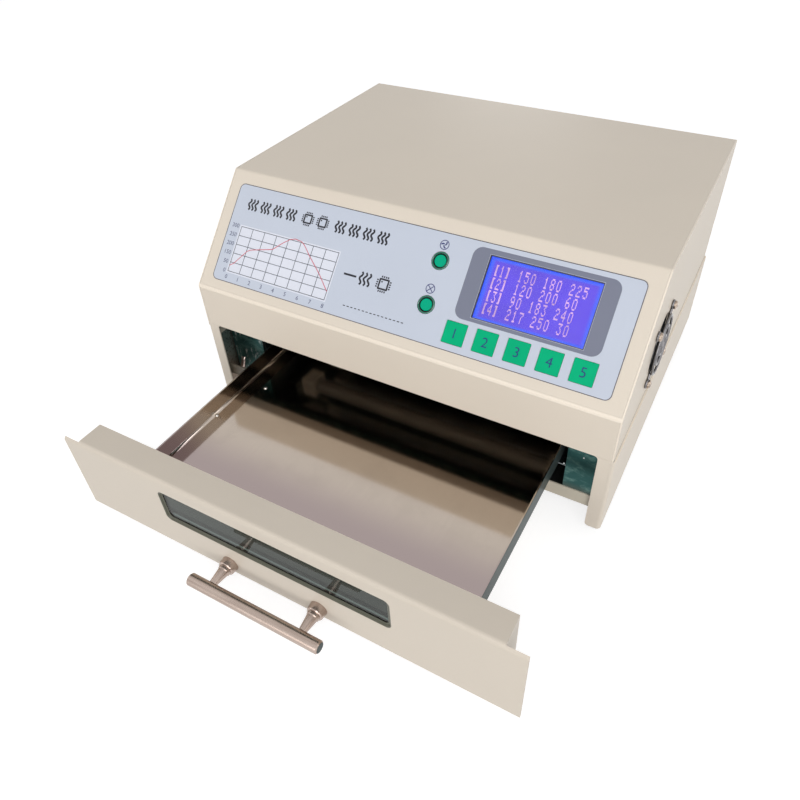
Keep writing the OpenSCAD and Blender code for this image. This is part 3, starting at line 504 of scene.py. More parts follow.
@dataclass(frozen=True)
class Turned(Finish):
    """Turned and plated bar: rings round its axis, long satin streaks and near-black ends, a painted dark reflection.
    """

    tone: Colour
    dark: Colour
    axis: Axis
    rough: float = 0.26
    ends: tuple[float, float] = (0.0, 1.0)

    def dress(self, graph: Graph) -> None:
        """Rings are noise squeezed to 0.12 mm along the axis; past the second of ends from the first it is painted
        near-black as a reflection.

        Args:
            graph: the graph being drawn.
        """
        ring = [6.0, 6.0, 6.0]
        ring[self.axis.value] = 0.12
        band = [1.8, 1.8, 1.8]
        band[self.axis.value] = 30.0
        rings = graph.noise(ring, 2, 0.5)
        streak = graph.noise(band, 2, 0.5)
        along = abs(graph.axes()[self.axis.value] - self.ends[0])
        tint = graph.blend(streak.ease(0.3, 0.7), self.dark, self.tone)
        # Painted reflection: near-black teal past the ends.
        graph.set(Base_Color=graph.blend(along > self.ends[1], tint, (0.003, 0.02, 0.02)), Metallic=1.0,
                  Roughness=self.rough + (rings - 0.5) * 0.06, Normal=graph.relief(rings, 0.0004))


@dataclass(frozen=True)
class Plated(Finish):
    """Bright plating on wire, screws and pins, with faint tarnish."""

    tone: Colour
    rough: float = 0.16
    tarnish: float = 0.72

    def dress(self, graph: Graph) -> None:
        """Tarnish gathers in 2 mm clouds.

        Args:
            graph: the graph being drawn.
        """
        cloud = graph.noise((2, 2, 2), 3, 0.6)
        graph.set(Base_Color=graph.blend(cloud.ease(0.4, 0.75), self.tone, shade(self.tone, self.tarnish)),
                  Metallic=1.0, Roughness=self.rough + (cloud - 0.4) * 0.2, Normal=graph.relief(cloud, 0.004))


@dataclass(frozen=True)
class Moulded(Finish):
    """Moulded plastic, ceramic or rubber: a spark-eroded grain and a slow drift of tone."""

    tone: Colour
    rough: float = 0.45
    grain: float = 0.35
    depth: float = 0.012
    coat: float = 0.0
    shine: float = 0.5

    def dress(self, graph: Graph) -> None:
        """Grain is noise of the grain's own size in millimetres.

        Args:
            graph: the graph being drawn.
        """
        pits = graph.noise((self.grain,) * 3, 2, 0.55)
        drift = graph.noise((18, 18, 18), 2)
        graph.set(Base_Color=graph.blend(drift, shade(self.tone, 0.88), shade(self.tone, 1.12)),
                  Roughness=self.rough + (pits - 0.5) * 0.2, Coat_Weight=self.coat, Coat_Roughness=0.08,
                  Specular_IOR_Level=self.shine,
                  Normal=graph.relief(pits, self.depth))


@dataclass(frozen=True)
class Film(Finish):
    """Printed polycarbonate film: a fine even texture under a satin face."""

    tone: Colour
    rough: float = 0.38

    def dress(self, graph: Graph) -> None:
        """The texture is 0.25 mm noise, and the ground drifts over 50 mm.

        Args:
            graph: the graph being drawn.
        """
        fine = graph.noise((0.25, 0.25, 0.25), 2)
        drift = graph.noise((50, 50, 50), 2)
        graph.set(Base_Color=graph.blend(drift, shade(self.tone, 0.97), shade(self.tone, 1.03)),
                  Specular_IOR_Level=0.3, Roughness=self.rough + (fine - 0.5) * 0.14,
                  Normal=graph.relief(fine, 0.004))


@dataclass(frozen=True)
class Wound(Finish):
    """Enamelled copper wound in even turns: each turn is one swell of a sine along an axis."""

    tone: Colour
    axis: Axis
    pitch: float = 0.9

    def dress(self, graph: Graph) -> None:
        """Turn height is half of one plus a sine with the winding's pitch.

        Args:
            graph: the graph being drawn.
        """
        along = graph.axes()[self.axis.value]
        turn = (along * (2000 * math.pi / self.pitch)).sine() * 0.5 + 0.5
        drift = graph.noise((5, 5, 5), 2)
        graph.set(Base_Color=graph.blend(turn * 0.6 + drift * 0.4, shade(self.tone, 0.55), self.tone),
                  Metallic=0.8, Roughness=0.3 + drift * 0.1, Normal=graph.relief(turn, 0.2), Coat_Weight=0.5,
                  Coat_Roughness=0.15)


@dataclass(frozen=True)
class Circuit(Finish):
    """Solder mask over copper: brighter tracks in steps of a fine net, with tinned pads at some crossings."""

    mask: Colour
    track: Colour
    turn: float = 0.0
    tracks: float = 520.0

    def dress(self, graph: Graph) -> None:
        """A track runs where a cell of the net, chosen by coarse noise, has its fraction of the place near its middle.

        Args:
            graph: the graph being drawn.
        """
        turned = graph.make("ShaderNodeMapping", {"vector_type": "TEXTURE"},
                            {"Vector": graph.place, "Rotation": (self.turn, 0, 0)})
        across, back, _ = graph.axes(turned)
        u, v = (across * self.tracks).repeat() - 0.5, (back * self.tracks).repeat() - 0.5
        choice = graph.noise((9, 9, 9), 2, 0.6)
        lines = ((abs(u) < 0.16) * (choice > 0.5)).most((abs(v) < 0.16) * (choice < 0.5))
        pads = ((u * u + v * v) < 0.07) * (graph.noise((3.1, 3.1, 3.1), 0) > 0.56)
        tint = graph.blend(lines * 0.7, self.mask, self.track)
        graph.set(Base_Color=graph.blend(pads, tint, (0.62, 0.6, 0.55)), Metallic=pads * 0.9,
                  Roughness=0.3 + choice * 0.12, Normal=graph.relief(lines.most(pads), 0.04))


@dataclass(frozen=True)
class Clear(Finish):
    """Clear or tinted sheet that light passes through, with faint wipe marks."""

    tint: Colour
    rough: float = 0.02
    index: float = 1.45
    through: float = 1.0

    def dress(self, graph: Graph) -> None:
        """Wipe marks are long noise in the roughness alone.

        Args:
            graph: the graph being drawn.
        """
        wipe = graph.noise((26, 4, 5), 3, 0.6)
        graph.set(Base_Color=graph.blend(wipe, shade(self.tint, 0.94), self.tint), IOR=self.index,
                  Roughness=self.rough + wipe.ease(0.5, 0.8) * 0.04, Transmission_Weight=self.through)


# ---- Shapes ----


class Shape:
    """Points and faces gathered for one piece, in millimetres of the cabinet: x right, y back, z up from its bottom."""

    def __init__(self) -> None:
        """Starts empty."""
        self.points: list[np.ndarray] = []
        self.faces: list[list[int]] = []
        self.count = 0

    def grid(self, points: np.ndarray, around: bool = False, along: bool = False) -> "Shape":
        """Adds a surface given on a grid, with a face between each four neighbours.

        Args:
            points: (n, m, 3) places.
            around: joins the last column to the first.
            along: joins the last row to the first.

        Returns:
            This shape.
        """
        n, m = points.shape[:2]
        i = np.arange(n if along else n - 1)[:, None]
        j = np.arange(m if around else m - 1)[None, :]
        i2, j2 = (i + 1) % n, (j + 1) % m
        quads = np.stack([i * m + j, i * m + j2, i2 * m + j2, i2 * m + j], axis=-1).reshape(-1, 4)
        self.points.append(points.reshape(-1, 3).astype(float))
        self.faces.extend((quads + self.count).tolist())
        self.count += n * m
        return self

    def join(self, *others: "Shape") -> "Shape":
        """Adds other shapes to this one.

        Args:
            others: the shapes to add.

        Returns:
            This shape.
        """
        for other in others:
            self.points.extend(other.points)
            self.faces.extend([[i + self.count for i in face] for face in other.faces])
            self.count += other.count
        return self

    def mesh(self, name: str, outward: bool = True) -> bpy.types.Mesh:
        """The mesh in metres in the shared frame, with doubles merged, poles closed and faces turned outward.

        Args:
            name: the mesh's name.
            outward: turns the faces of closed surfaces outward.

        Returns:
            The mesh.
        """
        mesh = bpy.data.meshes.new(name)
        mesh.from_pydata(to_frame(np.concatenate(self.points)).tolist(), [], self.faces)
        work = bmesh.new()
        work.from_mesh(mesh)
        bmesh.ops.remove_doubles(work, verts=work.verts, dist=1e-6)
        bmesh.ops.dissolve_degenerate(work, dist=1e-7, edges=work.edges)
        if outward:
            bmesh.ops.recalc_face_normals(work, faces=work.faces)
        work.to_mesh(mesh)
        work.free()
        return mesh


def to_frame(points: np.ndarray) -> np.ndarray:
    """Places in the cabinet's millimetres moved to the shared frame's metres, by the top cover's own box.

    Args:
        points: places in millimetres.

    Returns:
        The same places in metres.
    """
    low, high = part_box("top_cover")
    origin = np.array([(low[0] + high[0]) / 2, low[1], high[2] - Case.height / 1000])
    return np.asarray(points) / 1000 + origin


def lathe(profile: Sequence[tuple[float, float]], sides: int = 48) -> np.ndarray:
    """A profile of (along, radius) pairs carried round the x axis: the point at angle a is (along, r cos a, r sin a).

    Args:
        profile: (along, radius) pairs in millimetres.
        sides: points round it.

    Returns:
        (n, sides, 3) places.
    """
    along, radius = np.array(profile, dtype=float).T
    angle = np.linspace(0, 2 * np.pi, sides, endpoint=False)
    ring = np.stack([np.cos(angle), np.sin(angle)], axis=-1)
    round_points = radius[:, None, None] * ring[None]
    return np.concatenate([np.broadcast_to(along[:, None, None], (len(along), sides, 1)), round_points], axis=-1)


def turned_to(points: np.ndarray, axis: Axis, flip: bool = False) -> np.ndarray:
    """Points about the x axis laid along another axis instead, by rolling their coordinates round.

    Args:
        points: places, with x, y and z last.
        axis: the axis it comes to lie along.
        flip: reverses it along that axis.

    Returns:
        The turned places.
    """
    rolled = np.roll(points, axis.value, axis=-1)
    if flip:
        rolled = rolled.copy()
        rolled[..., axis.value] *= -1
    return rolled


def rounded_ring(w: float, h: float, r: float, corner: int = 6) -> np.ndarray:
    """A rectangle's outline with round corners: four quarter circles of radius r whose middles are pulled in by r.

    Args:
        w: width.
        h: height.
        r: radius of the corners.
        corner: points to a corner.

    Returns:
        (4 corner, 2) points, anticlockwise.
    """
    r = max(min(r, w / 2, h / 2), 1e-3)
    angle = np.linspace(0, np.pi / 2, corner)[None, :] + np.arange(4)[:, None] * np.pi / 2
    side = np.array([[1, 1], [-1, 1], [-1, -1], [1, -1]])
    middle = side * [w / 2 - r, h / 2 - r]
    ring = middle[:, None, :] + r * np.stack([np.cos(angle), np.sin(angle)], axis=-1)
    return ring.reshape(-1, 2)


def stroke(path: Sequence[tuple[float, float]], width: float, height: float = 0.0) -> np.ndarray:
    """A flat line of even width: each point of the path moved half the width to either side along its normal.

    Args:
        path: (x, y) points.
        width: its width.
        height: its place along z.

    Returns:
        (n, 2, 3) places.
    """
    line = np.array(path, dtype=float)
    ahead = np.gradient(line, axis=0)
    ahead /= np.linalg.norm(ahead, axis=1, keepdims=True)
    side = np.stack([-ahead[:, 1], ahead[:, 0]], axis=-1) * width / 2
    flat = np.stack([line - side, line + side], axis=1)
    return np.concatenate([flat, np.full((*flat.shape[:2], 1), height)], axis=-1)


def flat_ring(outer: np.ndarray, inner: np.ndarray, height: float = 0.0) -> np.ndarray:
    """A flat band between two outlines of the same number of points."""
    flat = np.stack([inner, outer])
    return np.concatenate([flat, np.full((*flat.shape[:2], 1), height)], axis=-1)


# ---- Assemblies ----


@dataclass
class Assembly:
    """A sub-assembly of the oven; it finishes its solids and adds its pieces."""

    body: Body = Body.CABINET

    def build(self) -> None:
        """Makes and dresses everything in it."""
        raise NotImplementedError

    def dress(self, node: str, finish: Finish) -> None:
        """Gives a carried-over solid its finish.

        Args:
            node: the solid's node.
            finish: its surface.
        """
        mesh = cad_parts[node].data
        mesh.materials.clear()
        mesh.materials.append(finish.material())
        LOG.info("%s: finished as %s", node, finish.name)

    def place(self, name: str, mesh: bpy.types.Mesh, finish: Finish, slot: str, body: Body | None = None,
              replaces: Sequence[str] = (), crease: float = 35) -> bpy.types.Object:
        """Puts a piece in the scene.

        Args:
            name: the piece's name.
            mesh: its mesh, already in its place.
            finish: its surface.
            slot: not used.
            body: the body it rides on, where that isn't the assembly's.
            replaces: the solids it stands for.
            crease: angle in degrees past which an edge stays sharp.

        Returns:
            The object.
        """
        piece = bpy.data.objects.new(name, mesh)
        bpy.context.scene.collection.objects.link(piece)
        mesh.materials.clear()
        mesh.materials.append(finish.material())
        mesh.polygons.foreach_set("use_smooth", np.ones(len(mesh.polygons), dtype=bool))
        mesh.set_sharp_from_angle(angle=math.radians(crease))
        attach(piece, (body or self.body).value)
        if replaces:
            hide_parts(*replaces)
        LOG.info("%s: %d faces", name, len(mesh.polygons))
        return piece

    @staticmethod
    def thicken(piece: bpy.types.Object, thickness: float, offset: float) -> None:
        """Gives a skin its thickness.

        Args:
            piece: the skin.
            thickness: in millimetres.
            offset: -1 grows it behind its faces, 1 in front, and 0 to both sides.
        """
        sheet = piece.modifiers.new("Thickness", "SOLIDIFY")
        sheet.thickness = thickness * MM
        sheet.offset = offset

    def soften(self, node: str, finish: Finish, width: float = 0.3, segments: int = 2,
               body: Body | None = None) -> bpy.types.Object:
        """Stands a copy of a solid for it, with its flat faces joined and its edges broken by a small bevel.

        Args:
            node: the solid.
            finish: its surface.
            width: the bevel's width in millimetres.
            segments: faces across the bevel.
            body: the body it rides on, where that isn't the assembly's.

        Returns:
            The object.
        """
        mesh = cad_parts[node].data.copy()
        work = bmesh.new()
        work.from_mesh(mesh)
        bmesh.ops.remove_doubles(work, verts=work.verts, dist=2e-6)
        bmesh.ops.dissolve_limit(work, angle_limit=math.radians(0.6), verts=work.verts, edges=work.edges)
        work.to_mesh(mesh)
        work.free()
        piece = self.place(f"{node}_skin", mesh, finish, node, body, (node,))
        bevel = piece.modifiers.new("Broken edges", "BEVEL")
        bevel.width = width * MM
        bevel.segments = segments
        bevel.limit_method = "ANGLE"
        bevel.angle_limit = math.radians(38)
        bevel.harden_normals = True
        bevel.use_clamp_overlap = True
        return piece


@dataclass
class Case(Assembly):
    """The folded sheet case: cover, side panels, pan, crossbar and rear panel."""

    height: float = 160.0
    width: float = 310.0
    nose: float = 96.5
    run: float = 60.5
    seam: float = 62.5
    sheet: float = 1.2
    tone: Colour = paint(227, 216, 201)
    # The crossbar's cream, darkened as painted shade for the drawer's mouth.
    shade_tone: Colour = paint(205, 197, 180)

    def build(self) -> None:
        """Softens the folded edges and enamels every sheet, with painted highlights along its folds."""
        angle = SLOPE_ANGLE
        _, face, nose = to_frame(np.array([0, 0, self.nose]))
        side, panel = ((1.0, 0.0, 0.0, half / 1000) for half in (self.width / 2 - self.sheet, self.width / 2))
        front = (0.0, 1.0, 0.0, float(face))
        top = (0.0, 0.0, 1.0, float(to_frame(np.array([0, 0, self.height]))[2]))
        seam = (0.0, 0.0, 1.0, float(to_frame(np.array([0, 0, self.seam]))[2]))
        slope = (0.0, -math.sin(angle), math.cos(angle), float(nose * math.cos(angle) - face * math.sin(angle)))
        # Painted highlight along the cover's side-top, side-slope, side-front and slope-front folds.
        folds = ((side, top), (side, slope), (side, front), (slope, front))
        enamel = Enamel("Cream enamel", self.tone, folds=folds)
        for node in ("top_cover", "rear_panel"):
            self.soften(node, enamel, 0.35)
        # Painted highlight along the side panels' front fold and along the ledge of their top edge at the seam.
        bare = BareInside("Cream enamel bare inside", self.tone, folds=((panel, front), (panel, seam)))
        for node in ("side_panel_left", "side_panel_right"):
            self.soften(node, bare, 0.3)
        # Painted shade: the crossbar takes the darker cream, and its left end turns browner.
        self.soften("front_crossbar", StainedEnamel("Crossbar enamel in painted shade", self.shade_tone), 0.3)
        # Painted shade: the pan's sheet is dark grey for the unlit floor inside the case.
        self.dress("base_pan", Sheet("Pan painted shade", paint(84, 88, 88), Axis.X, 0.5))
        self.dress("rubber_feet", Moulded("Foot rubber", paint(34, 34, 36), 0.7, 0.5, 0.03))
        screw = Plated("Zinc plating", paint(205, 203, 198), 0.22)
        for node in ("foot_screws", "rear_screws"):
            self.dress(node, screw)


SLOPE_ANGLE = math.atan2(Case.height - Case.nose, Case.run)
"""How far the sloping panel leans back from level, in radians."""


@dataclass
class Slope(Assembly):
    """The sloping panel's own plane; places on it are (x, s, n): across, up the slope and out from the cover."""

    label_w: float = 288.0
    label_h: float = 70.4
    label_low: float = 8.0
    film: float = 0.4

    def lay(self, points: np.ndarray) -> np.ndarray:
        """Points (x, s, n) as cabinet places: y is s cos a less n sin a, and z is the nose plus s sin a plus n cos a.

        Args:
            points: places (x, s, n) on the slope.

        Returns:
            Places in the cabinet.
        """
        x, s, n = np.moveaxis(np.asarray(points, dtype=float), -1, 0)
        back, rise = math.cos(SLOPE_ANGLE), math.sin(SLOPE_ANGLE)
        return np.stack([x, s * back - n * rise, Case.nose + s * rise + n * back], axis=-1)

    def at(self, points: np.ndarray, x: float, s: float, n: float | None = None) -> np.ndarray:
        """Flat points moved to (x, s) and laid on the film, or at height n."""
        return self.lay(np.asarray(points) + [x, s, self.film + 0.03 if n is None else n])

    def inked(self, name: str, shape: Shape, ink: Finish, body: Body | None = None, slot: str = "label_panel",
              thick: float = 0.03) -> bpy.types.Object:
        """Places flat print and gives it the thickness of its ink.

        Args:
            name: the piece's name.
            shape: the print's faces.
            ink: its ink.
            body: the body it rides on, where that isn't the assembly's.
            slot: passed on to place, by node.
            thick: in millimetres.

        Returns:
            The object.
        """
        mesh = shape.mesh(name, outward=False)
        normal = self.lay(np.array([0, 0, 1.0])) - self.lay(np.array([0, 0, 0.0]))
        facing = np.array([polygon.normal for polygon in mesh.polygons]) @ normal
        if len(facing) and facing.sum() < 0:
            mesh.flip_normals()
        piece = self.place(name, mesh, ink, slot, body)
        mesh.polygons.foreach_set("use_smooth", np.zeros(len(mesh.polygons), dtype=bool))
        self.thicken(piece, thick, 1.0)
        return piece

    def numeral(self, text: str, height: float, x: float, s: float, n: float | None = None,
                centre: bool = True) -> Shape:
        """Plain numbers as flat faces: the built-in font's outline, scaled to height and laid at (x, s).

        Args:
            text: the digits.
            height: of a digit in millimetres.
            x: across.
            s: up the slope, at mid height.
            n: out from the cover, where it isn't on the film.
            centre: centred at x, or else ending there.

        Returns:
            The faces of the digits.
        """
        curve = bpy.data.curves.new("numeral", "FONT")
        curve.body = text
        curve.size = height * 1.42
        curve.resolution_u = 3
        curve.align_x = "CENTER" if centre else "RIGHT"
        made = bpy.data.objects.new("numeral", curve)
        bpy.context.scene.collection.objects.link(made)
        mesh = bpy.data.meshes.new_from_object(made.evaluated_get(bpy.context.evaluated_depsgraph_get()))
        places = np.empty(len(mesh.vertices) * 3)
        mesh.vertices.foreach_get("co", places)
        shape = Shape()
        shape.points = [self.at(places.reshape(-1, 3) - [0, height / 2, 0], x, s, n)]
        shape.faces = [list(polygon.vertices) for polygon in mesh.polygons]
        shape.count = len(mesh.vertices)
        bpy.data.objects.remove(made)
        bpy.data.curves.remove(curve)
        bpy.data.meshes.remove(mesh)
        return shape


DIGITS: dict[str, tuple[int, ...]] = {
    "0": (14, 17, 17, 17, 17, 17, 14), "1": (4, 12, 4, 4, 4, 4, 14), "2": (14, 17, 1, 6, 8, 16, 31),
    "3": (31, 2, 4, 2, 1, 17, 14), "4": (2, 6, 10, 18, 31, 2, 2), "5": (31, 16, 30, 1, 1, 17, 14),
    "6": (6, 8, 16, 30, 17, 17, 14), "7": (31, 1, 2, 4, 4, 4, 4), "8": (14, 17, 17, 14, 17, 17, 14),
    "9": (14, 17, 17, 15, 1, 2, 12), "[": (7, 6, 6, 6, 6, 6, 7), "]": (28, 12, 12, 12, 12, 12, 28),
    " ": (0, 0, 0, 0, 0, 0, 0),
}


@dataclass(frozen=True)
class LitPanel(Finish):
    """A back-lit panel: violet, bluer towards its edges, under a fine grid of dots."""

    violet: Colour
    blue: Colour
    middle: tuple[float, float, float]
    half: tuple[float, float]
    pitch: float = 0.5

    def dress(self, graph: Graph) -> None:
        """The edge share is the larger of the two distances from the middle over their halves, eased near 1.

        Args:
            graph: the graph being drawn.
        """
        across, up, _ = graph.axes(graph.make("ShaderNodeMapping", {"vector_type": "TEXTURE"}, {
            "Vector": graph.place, "Location": self.middle, "Rotation": (SLOPE_ANGLE, 0, 0)}))
        edge = (abs(across / self.half[0]) * 0.97).most(abs(up / self.half[1]))
        turns = 2 * math.pi / (self.pitch * MM)
        dots = (across * turns).sine() * (up * turns).sine()
        drift = graph.noise((30, 30, 30), 2)
        tint = graph.blend(drift.ease(0.35, 0.65), self.violet, shade(self.violet, 0.9))
        lit = graph.blend(edge.ease(0.85, 0.93), tint, self.blue)
        graph.set(Base_Color=(0.01, 0.01, 0.03), Emission_Color=graph.blend(abs(dots) * 0.02, lit, (1, 1, 1)),
                  Emission_Strength=1.0, Roughness=0.3 + drift * 0.1)


@dataclass(frozen=True)
class Glow(Finish):
    """Lit dots of the display, brighter in drifts."""

    tone: Colour

    def dress(self, graph: Graph) -> None:
        """The light drifts over 9 mm.

        Args:
            graph: the graph being drawn.
        """
        drift = graph.noise((9, 9, 9), 2)
        graph.set(Base_Color=(0.05, 0.03, 0.06), Emission_Strength=1.0, Roughness=0.4,
                  Emission_Color=graph.blend(drift.ease(0.35, 0.7), self.tone, shade(self.tone, 0.72)))


@dataclass
class Prints(Slope):
    """The film on the sloping panel and everything printed on it."""

    chart_x: float = -132.5
    chart_s: float = 16.0
    chart_w: float = 81.8
    chart_h: float = 32.5
    title_s: float = 65.0
    sign_up: float = 10.2
    ground: Colour = paint(200, 207, 221)

    def build(self) -> None:
        """Prints the border, the bezel, the chart with its numbers, and plain symbols."""
        self.dress("label_panel", Film("Panel film", self.ground))
        ink = Film("Black ink", paint(42, 42, 50), 0.34)
        grey = Film("Grey ink", paint(124, 128, 145), 0.4)
        border = Shape().grid(self.at(flat_ring(rounded_ring(self.label_w, self.label_h, 4, 8),
                                                rounded_ring(self.label_w - 0.9, self.label_h - 0.9, 3.55, 8)),
                                      0, self.label_low + self.label_h / 2), around=True)
        self.inked("film_border", border, Film("Border ink", paint(88, 84, 92), 0.4))
        self.bezel(grey)
        self.chart()
        self.symbols(ink)

    def bezel(self, grey: Finish) -> None:
        """The grey field round the display's window, as a band between two outlines.

        Args:
            grey: its ink.
        """
        middle_x, middle_s = (39.3 + 131) / 2, (29.3 + 75) / 2
        outer = rounded_ring(131 - 39.3, 75 - 29.3, 6, 8) + [middle_x, middle_s]
        inner = rounded_ring(Display.view_w + 0.4, Display.view_h + 0.4, 0.3, 8) + [Display.view_x, Display.view_s]
        self.inked("bezel_print", Shape().grid(self.at(flat_ring(outer, inner), 0, 0), around=True), grey)

    def chart(self) -> None:
        """White ground, an eight by five net of lines, a heating curve and the numbers of its scales."""
        x, s, w, h = self.chart_x, self.chart_s, self.chart_w, self.chart_h
        edge, thin = 1.2, 0.42
        ground = Shape().grid(self.at([[(-edge, -edge, 0), (w + edge, -edge, 0)],
                                       [(-edge, h + edge, 0), (w + edge, h + edge, 0)]], x, s))
        self.inked("chart_ground", ground, Film("White ink", paint(226, 229, 240), 0.42))
        lift = self.film + 0.07
        net = Shape()
        for i in range(9):
            net.grid(self.at(stroke([(i * w / 8, -0.2), (i * w / 8, h + 0.2)], thin), x, s, lift))
        for j in range(6):
            net.grid(self.at(stroke([(-0.2, j * h / 5), (w + 0.2, j * h / 5)], thin), x, s, lift + 0.002))
        self.inked("chart_net", net, Film("Line ink", paint(70, 76, 88), 0.4))
        points = np.array([(0, 0.6), (0.3, 0.95), (1.05, 2.55), (1.3, 2.8), (2, 3.1), (3, 3.5), (3.6, 4.4), (4.1, 5),
                           (4.5, 5.2), (5, 5.1), (5.3, 4.85), (6, 3.8), (7.06, 2.4), (8, 0.9)]) * [w / 8, h / 5]
        fine = np.linspace(0, len(points) - 1, 80)
        curve = np.stack([np.interp(fine, np.arange(len(points)), points[:, k]) for k in (0, 1)], axis=-1)
        self.inked("chart_curve", Shape().grid(self.at(stroke(curve, 0.5), x, s, lift + 0.04)),
                   Film("Red ink", paint(205, 96, 112), 0.4))
        scale = Film("Scale ink", paint(88, 92, 122), 0.4)
        low = [self.numeral(str(i), 2.9, x + i * w / 8, s - 4.0) for i in range(9)]
        side = [self.numeral(text, 2.9, x - 2.2, s + j * h / 5, centre=False) for j, text in
                enumerate(("0", "50", "150", "200", "250", "300"))]
        self.inked("scale_numbers", Shape().join(*low, *side), scale)

    def wave(self, x: float, s: float, size: float, width: float) -> Shape:
        """Three upright heat waves: each is a sine of one and a half turns along its height.

        Args:
            x: across.
            s: up the slope.
            size: height of a wave.
            width: width of a line.

        Returns:
            The three strokes.
        """
        shape = Shape()
        rise = np.linspace(0, 1, 25)
        for k in (-1, 0, 1):
            path = np.stack([k * size * 0.36 + 0.1 * size * np.sin(rise * 3 * np.pi), (rise - 0.5) * size], axis=-1)
            shape.grid(self.at(stroke(path, width), x, s))
        return shape

    def chip(self, x: float, s: float, size: float, width: float) -> Shape:
        """A chip seen from above: a square ring with four short legs on each side.

        Args:
            x: across.
            s: up the slope.
            size: side of the square.
            width: width of a line.

        Returns:
            The ring, its legs and its dot.
        """
        outer, inner = rounded_ring(size, size, 0.5, 4), rounded_ring(size - 2 * width, size - 2 * width, 0.3, 4)
        shape = Shape().grid(self.at(flat_ring(outer, inner), x, s), around=True)
        for place in (-0.3, -0.1, 0.1, 0.3):
            for turn in range(4):
                ends = np.array([(size * 0.56, place * size), (size * 0.72, place * size)])
                c, d = ((1, 0), (0, 1), (-1, 0), (0, -1))[turn]
                leg = ends @ np.array([[c, d], [-d, c]])
                shape.grid(self.at(stroke(leg, width * 0.8), x, s))
        dot = flat_ring(rounded_ring(1.1, 1.1, 0.55, 4), rounded_ring(1e-3, 1e-3, 1e-4, 4))
        return shape.grid(self.at(dot, x - size * 0.2, s + size * 0.2), around=True)

    def symbols(self, ink: Finish) -> None:
        """A row of plain heat and chip signs, a rule, and a sign over each indicator.

        Args:
            ink: its ink.
        """
        row = Shape()
        for x in (-129, -118, -107, -96, -56, -45, -34, -23):
            row.join(self.wave(x, self.title_s, 7.8, 1.35))
        for x in (-82, -70):
            row.join(self.chip(x, self.title_s, 6.6, 1.1))
        row.join(self.wave(-26.5, 36.5, 8.5, 1.3), self.chip(-12.5, 36.5, 7.4, 1.1))
        row.grid(self.at(stroke([(-42.5, 36.5), (-33, 36.5)], 1.3), 0, 0))
        for i in range(16):
            row.grid(self.at(stroke([(-36 + i * 2.9, 16.5), (-34.4 + i * 2.9, 16.5)], 0.55), 0, 0))
        self.inked("panel_signs", row, ink)
        blue = Film("Blue ink", paint(60, 62, 116), 0.4)
        signs = Shape()
        angle = np.linspace(0, 2 * np.pi, 33)
        x, low, high = Lamps.x - 0.5, Lamps.low_s + self.sign_up, Lamps.low_s + Lamps.gap + self.sign_up
        for s in (high, low):
            signs.grid(self.at(stroke(2.9 * np.stack([np.cos(angle), np.sin(angle)], axis=-1), 0.5), x, s))
        for k in range(3):
            blade = np.linspace(0, 1, 12)
            turn = k * 2 * np.pi / 3 + blade * 1.1
            path = (0.35 + 1.9 * blade)[:, None] * np.stack([np.cos(turn), np.sin(turn)], axis=-1)
            signs.grid(self.at(stroke(path, 0.85), x, high))
        for turn in (math.pi / 4, 3 * math.pi / 4):
            c, d = math.cos(turn), math.sin(turn)
            arm = np.array([(-2.7, 0), (2.7, 0)]) @ np.array([[c, d], [-d, c]])
            signs.grid(self.at(stroke(arm, 0.5), x, low))
        self.inked("indicator_signs", signs, blue)


@dataclass
class Display(Slope):
    """The dot-matrix display behind its window."""

    view_x: float = 85.7
    view_s: float = 51.7
    view_w: float = 70.6
    view_h: float = 40.0
    deep: float = -3.0
    dot: float = 0.5

    def build(self) -> None:
        """Lights the panel, draws rows of plain numbers in dots, lines the window's walls in painted shade and clears
        the window over them.
        """
        middle = to_frame(self.lay(np.array([self.view_x, self.view_s, self.deep])))
        self.dress("display_screen", LitPanel("Lit panel", paint(88, 58, 234), paint(50, 92, 255), tuple(middle),
                                              (self.view_w * MM / 2, self.view_h * MM / 2)))
        self.dress("display_window", Clear("Display window", (0.97, 0.97, 0.99), index=1.3))
        self.dress("display_frame", Moulded("Display frame", paint(62, 64, 70), 0.5))
        # Painted shade: a dark band lining the window's cut walls, for the shade in the recess.
        liner = np.array([rounded_ring(self.view_w - 2 * i, self.view_h - 2 * i, 0.3, 4)
                          for i in (0.02, 0.02, 0.5, 0.5)])
        deep = np.broadcast_to(np.array([-1.16, 0.42, 0.42, -1.16])[:, None, None], (4, 16, 1))
        band = self.at(np.concatenate([liner, deep], axis=-1), self.view_x, self.view_s, 0)
        gasket = Shape().grid(band, around=True, along=True)
        self.place("display_shade_liner", gasket.mesh("display_shade_liner"),
                   Moulded("Display shade liner", paint(66, 62, 72), 0.5), "display_frame")
        rows = ("[1] 150 180 225", "[2] 120 200 60", "[3] 90 183 240", "[4] 217 250 30")
        bits = np.zeros((64, 128), dtype=bool)
        for r, text in enumerate(rows):
            for c, letter in enumerate(text):
                glyph = (np.array(DIGITS[letter])[:, None] >> np.arange(4, -1, -1)[None]) & 1
                tall = np.repeat(glyph, 2, axis=0).astype(bool)
                bits[r * 16 + 1:r * 16 + 15, c * 8 + 1:c * 8 + 6] = tall
        row, column = np.nonzero(bits)
        x = self.view_x + (column - 63.5) * self.dot
        s = self.view_s + (31.5 - row) * self.dot
        reach = self.dot * 0.46
        corner = np.array([(-1, -1), (1, -1), (1, 1), (-1, 1)]) * reach
        places = np.stack([x, s], axis=-1)[:, None] + corner
        flat = np.concatenate([places, np.full((len(x), 4, 1), self.deep + 0.05)], axis=-1).reshape(-1, 3)
        shape = Shape()
        shape.points = [self.lay(flat)]
        shape.faces = np.arange(len(flat)).reshape(-1, 4).tolist()
        shape.count = len(flat)
        self.inked("display_dots", shape, Glow("Lit dots", paint(236, 190, 232)), slot="display_screen")


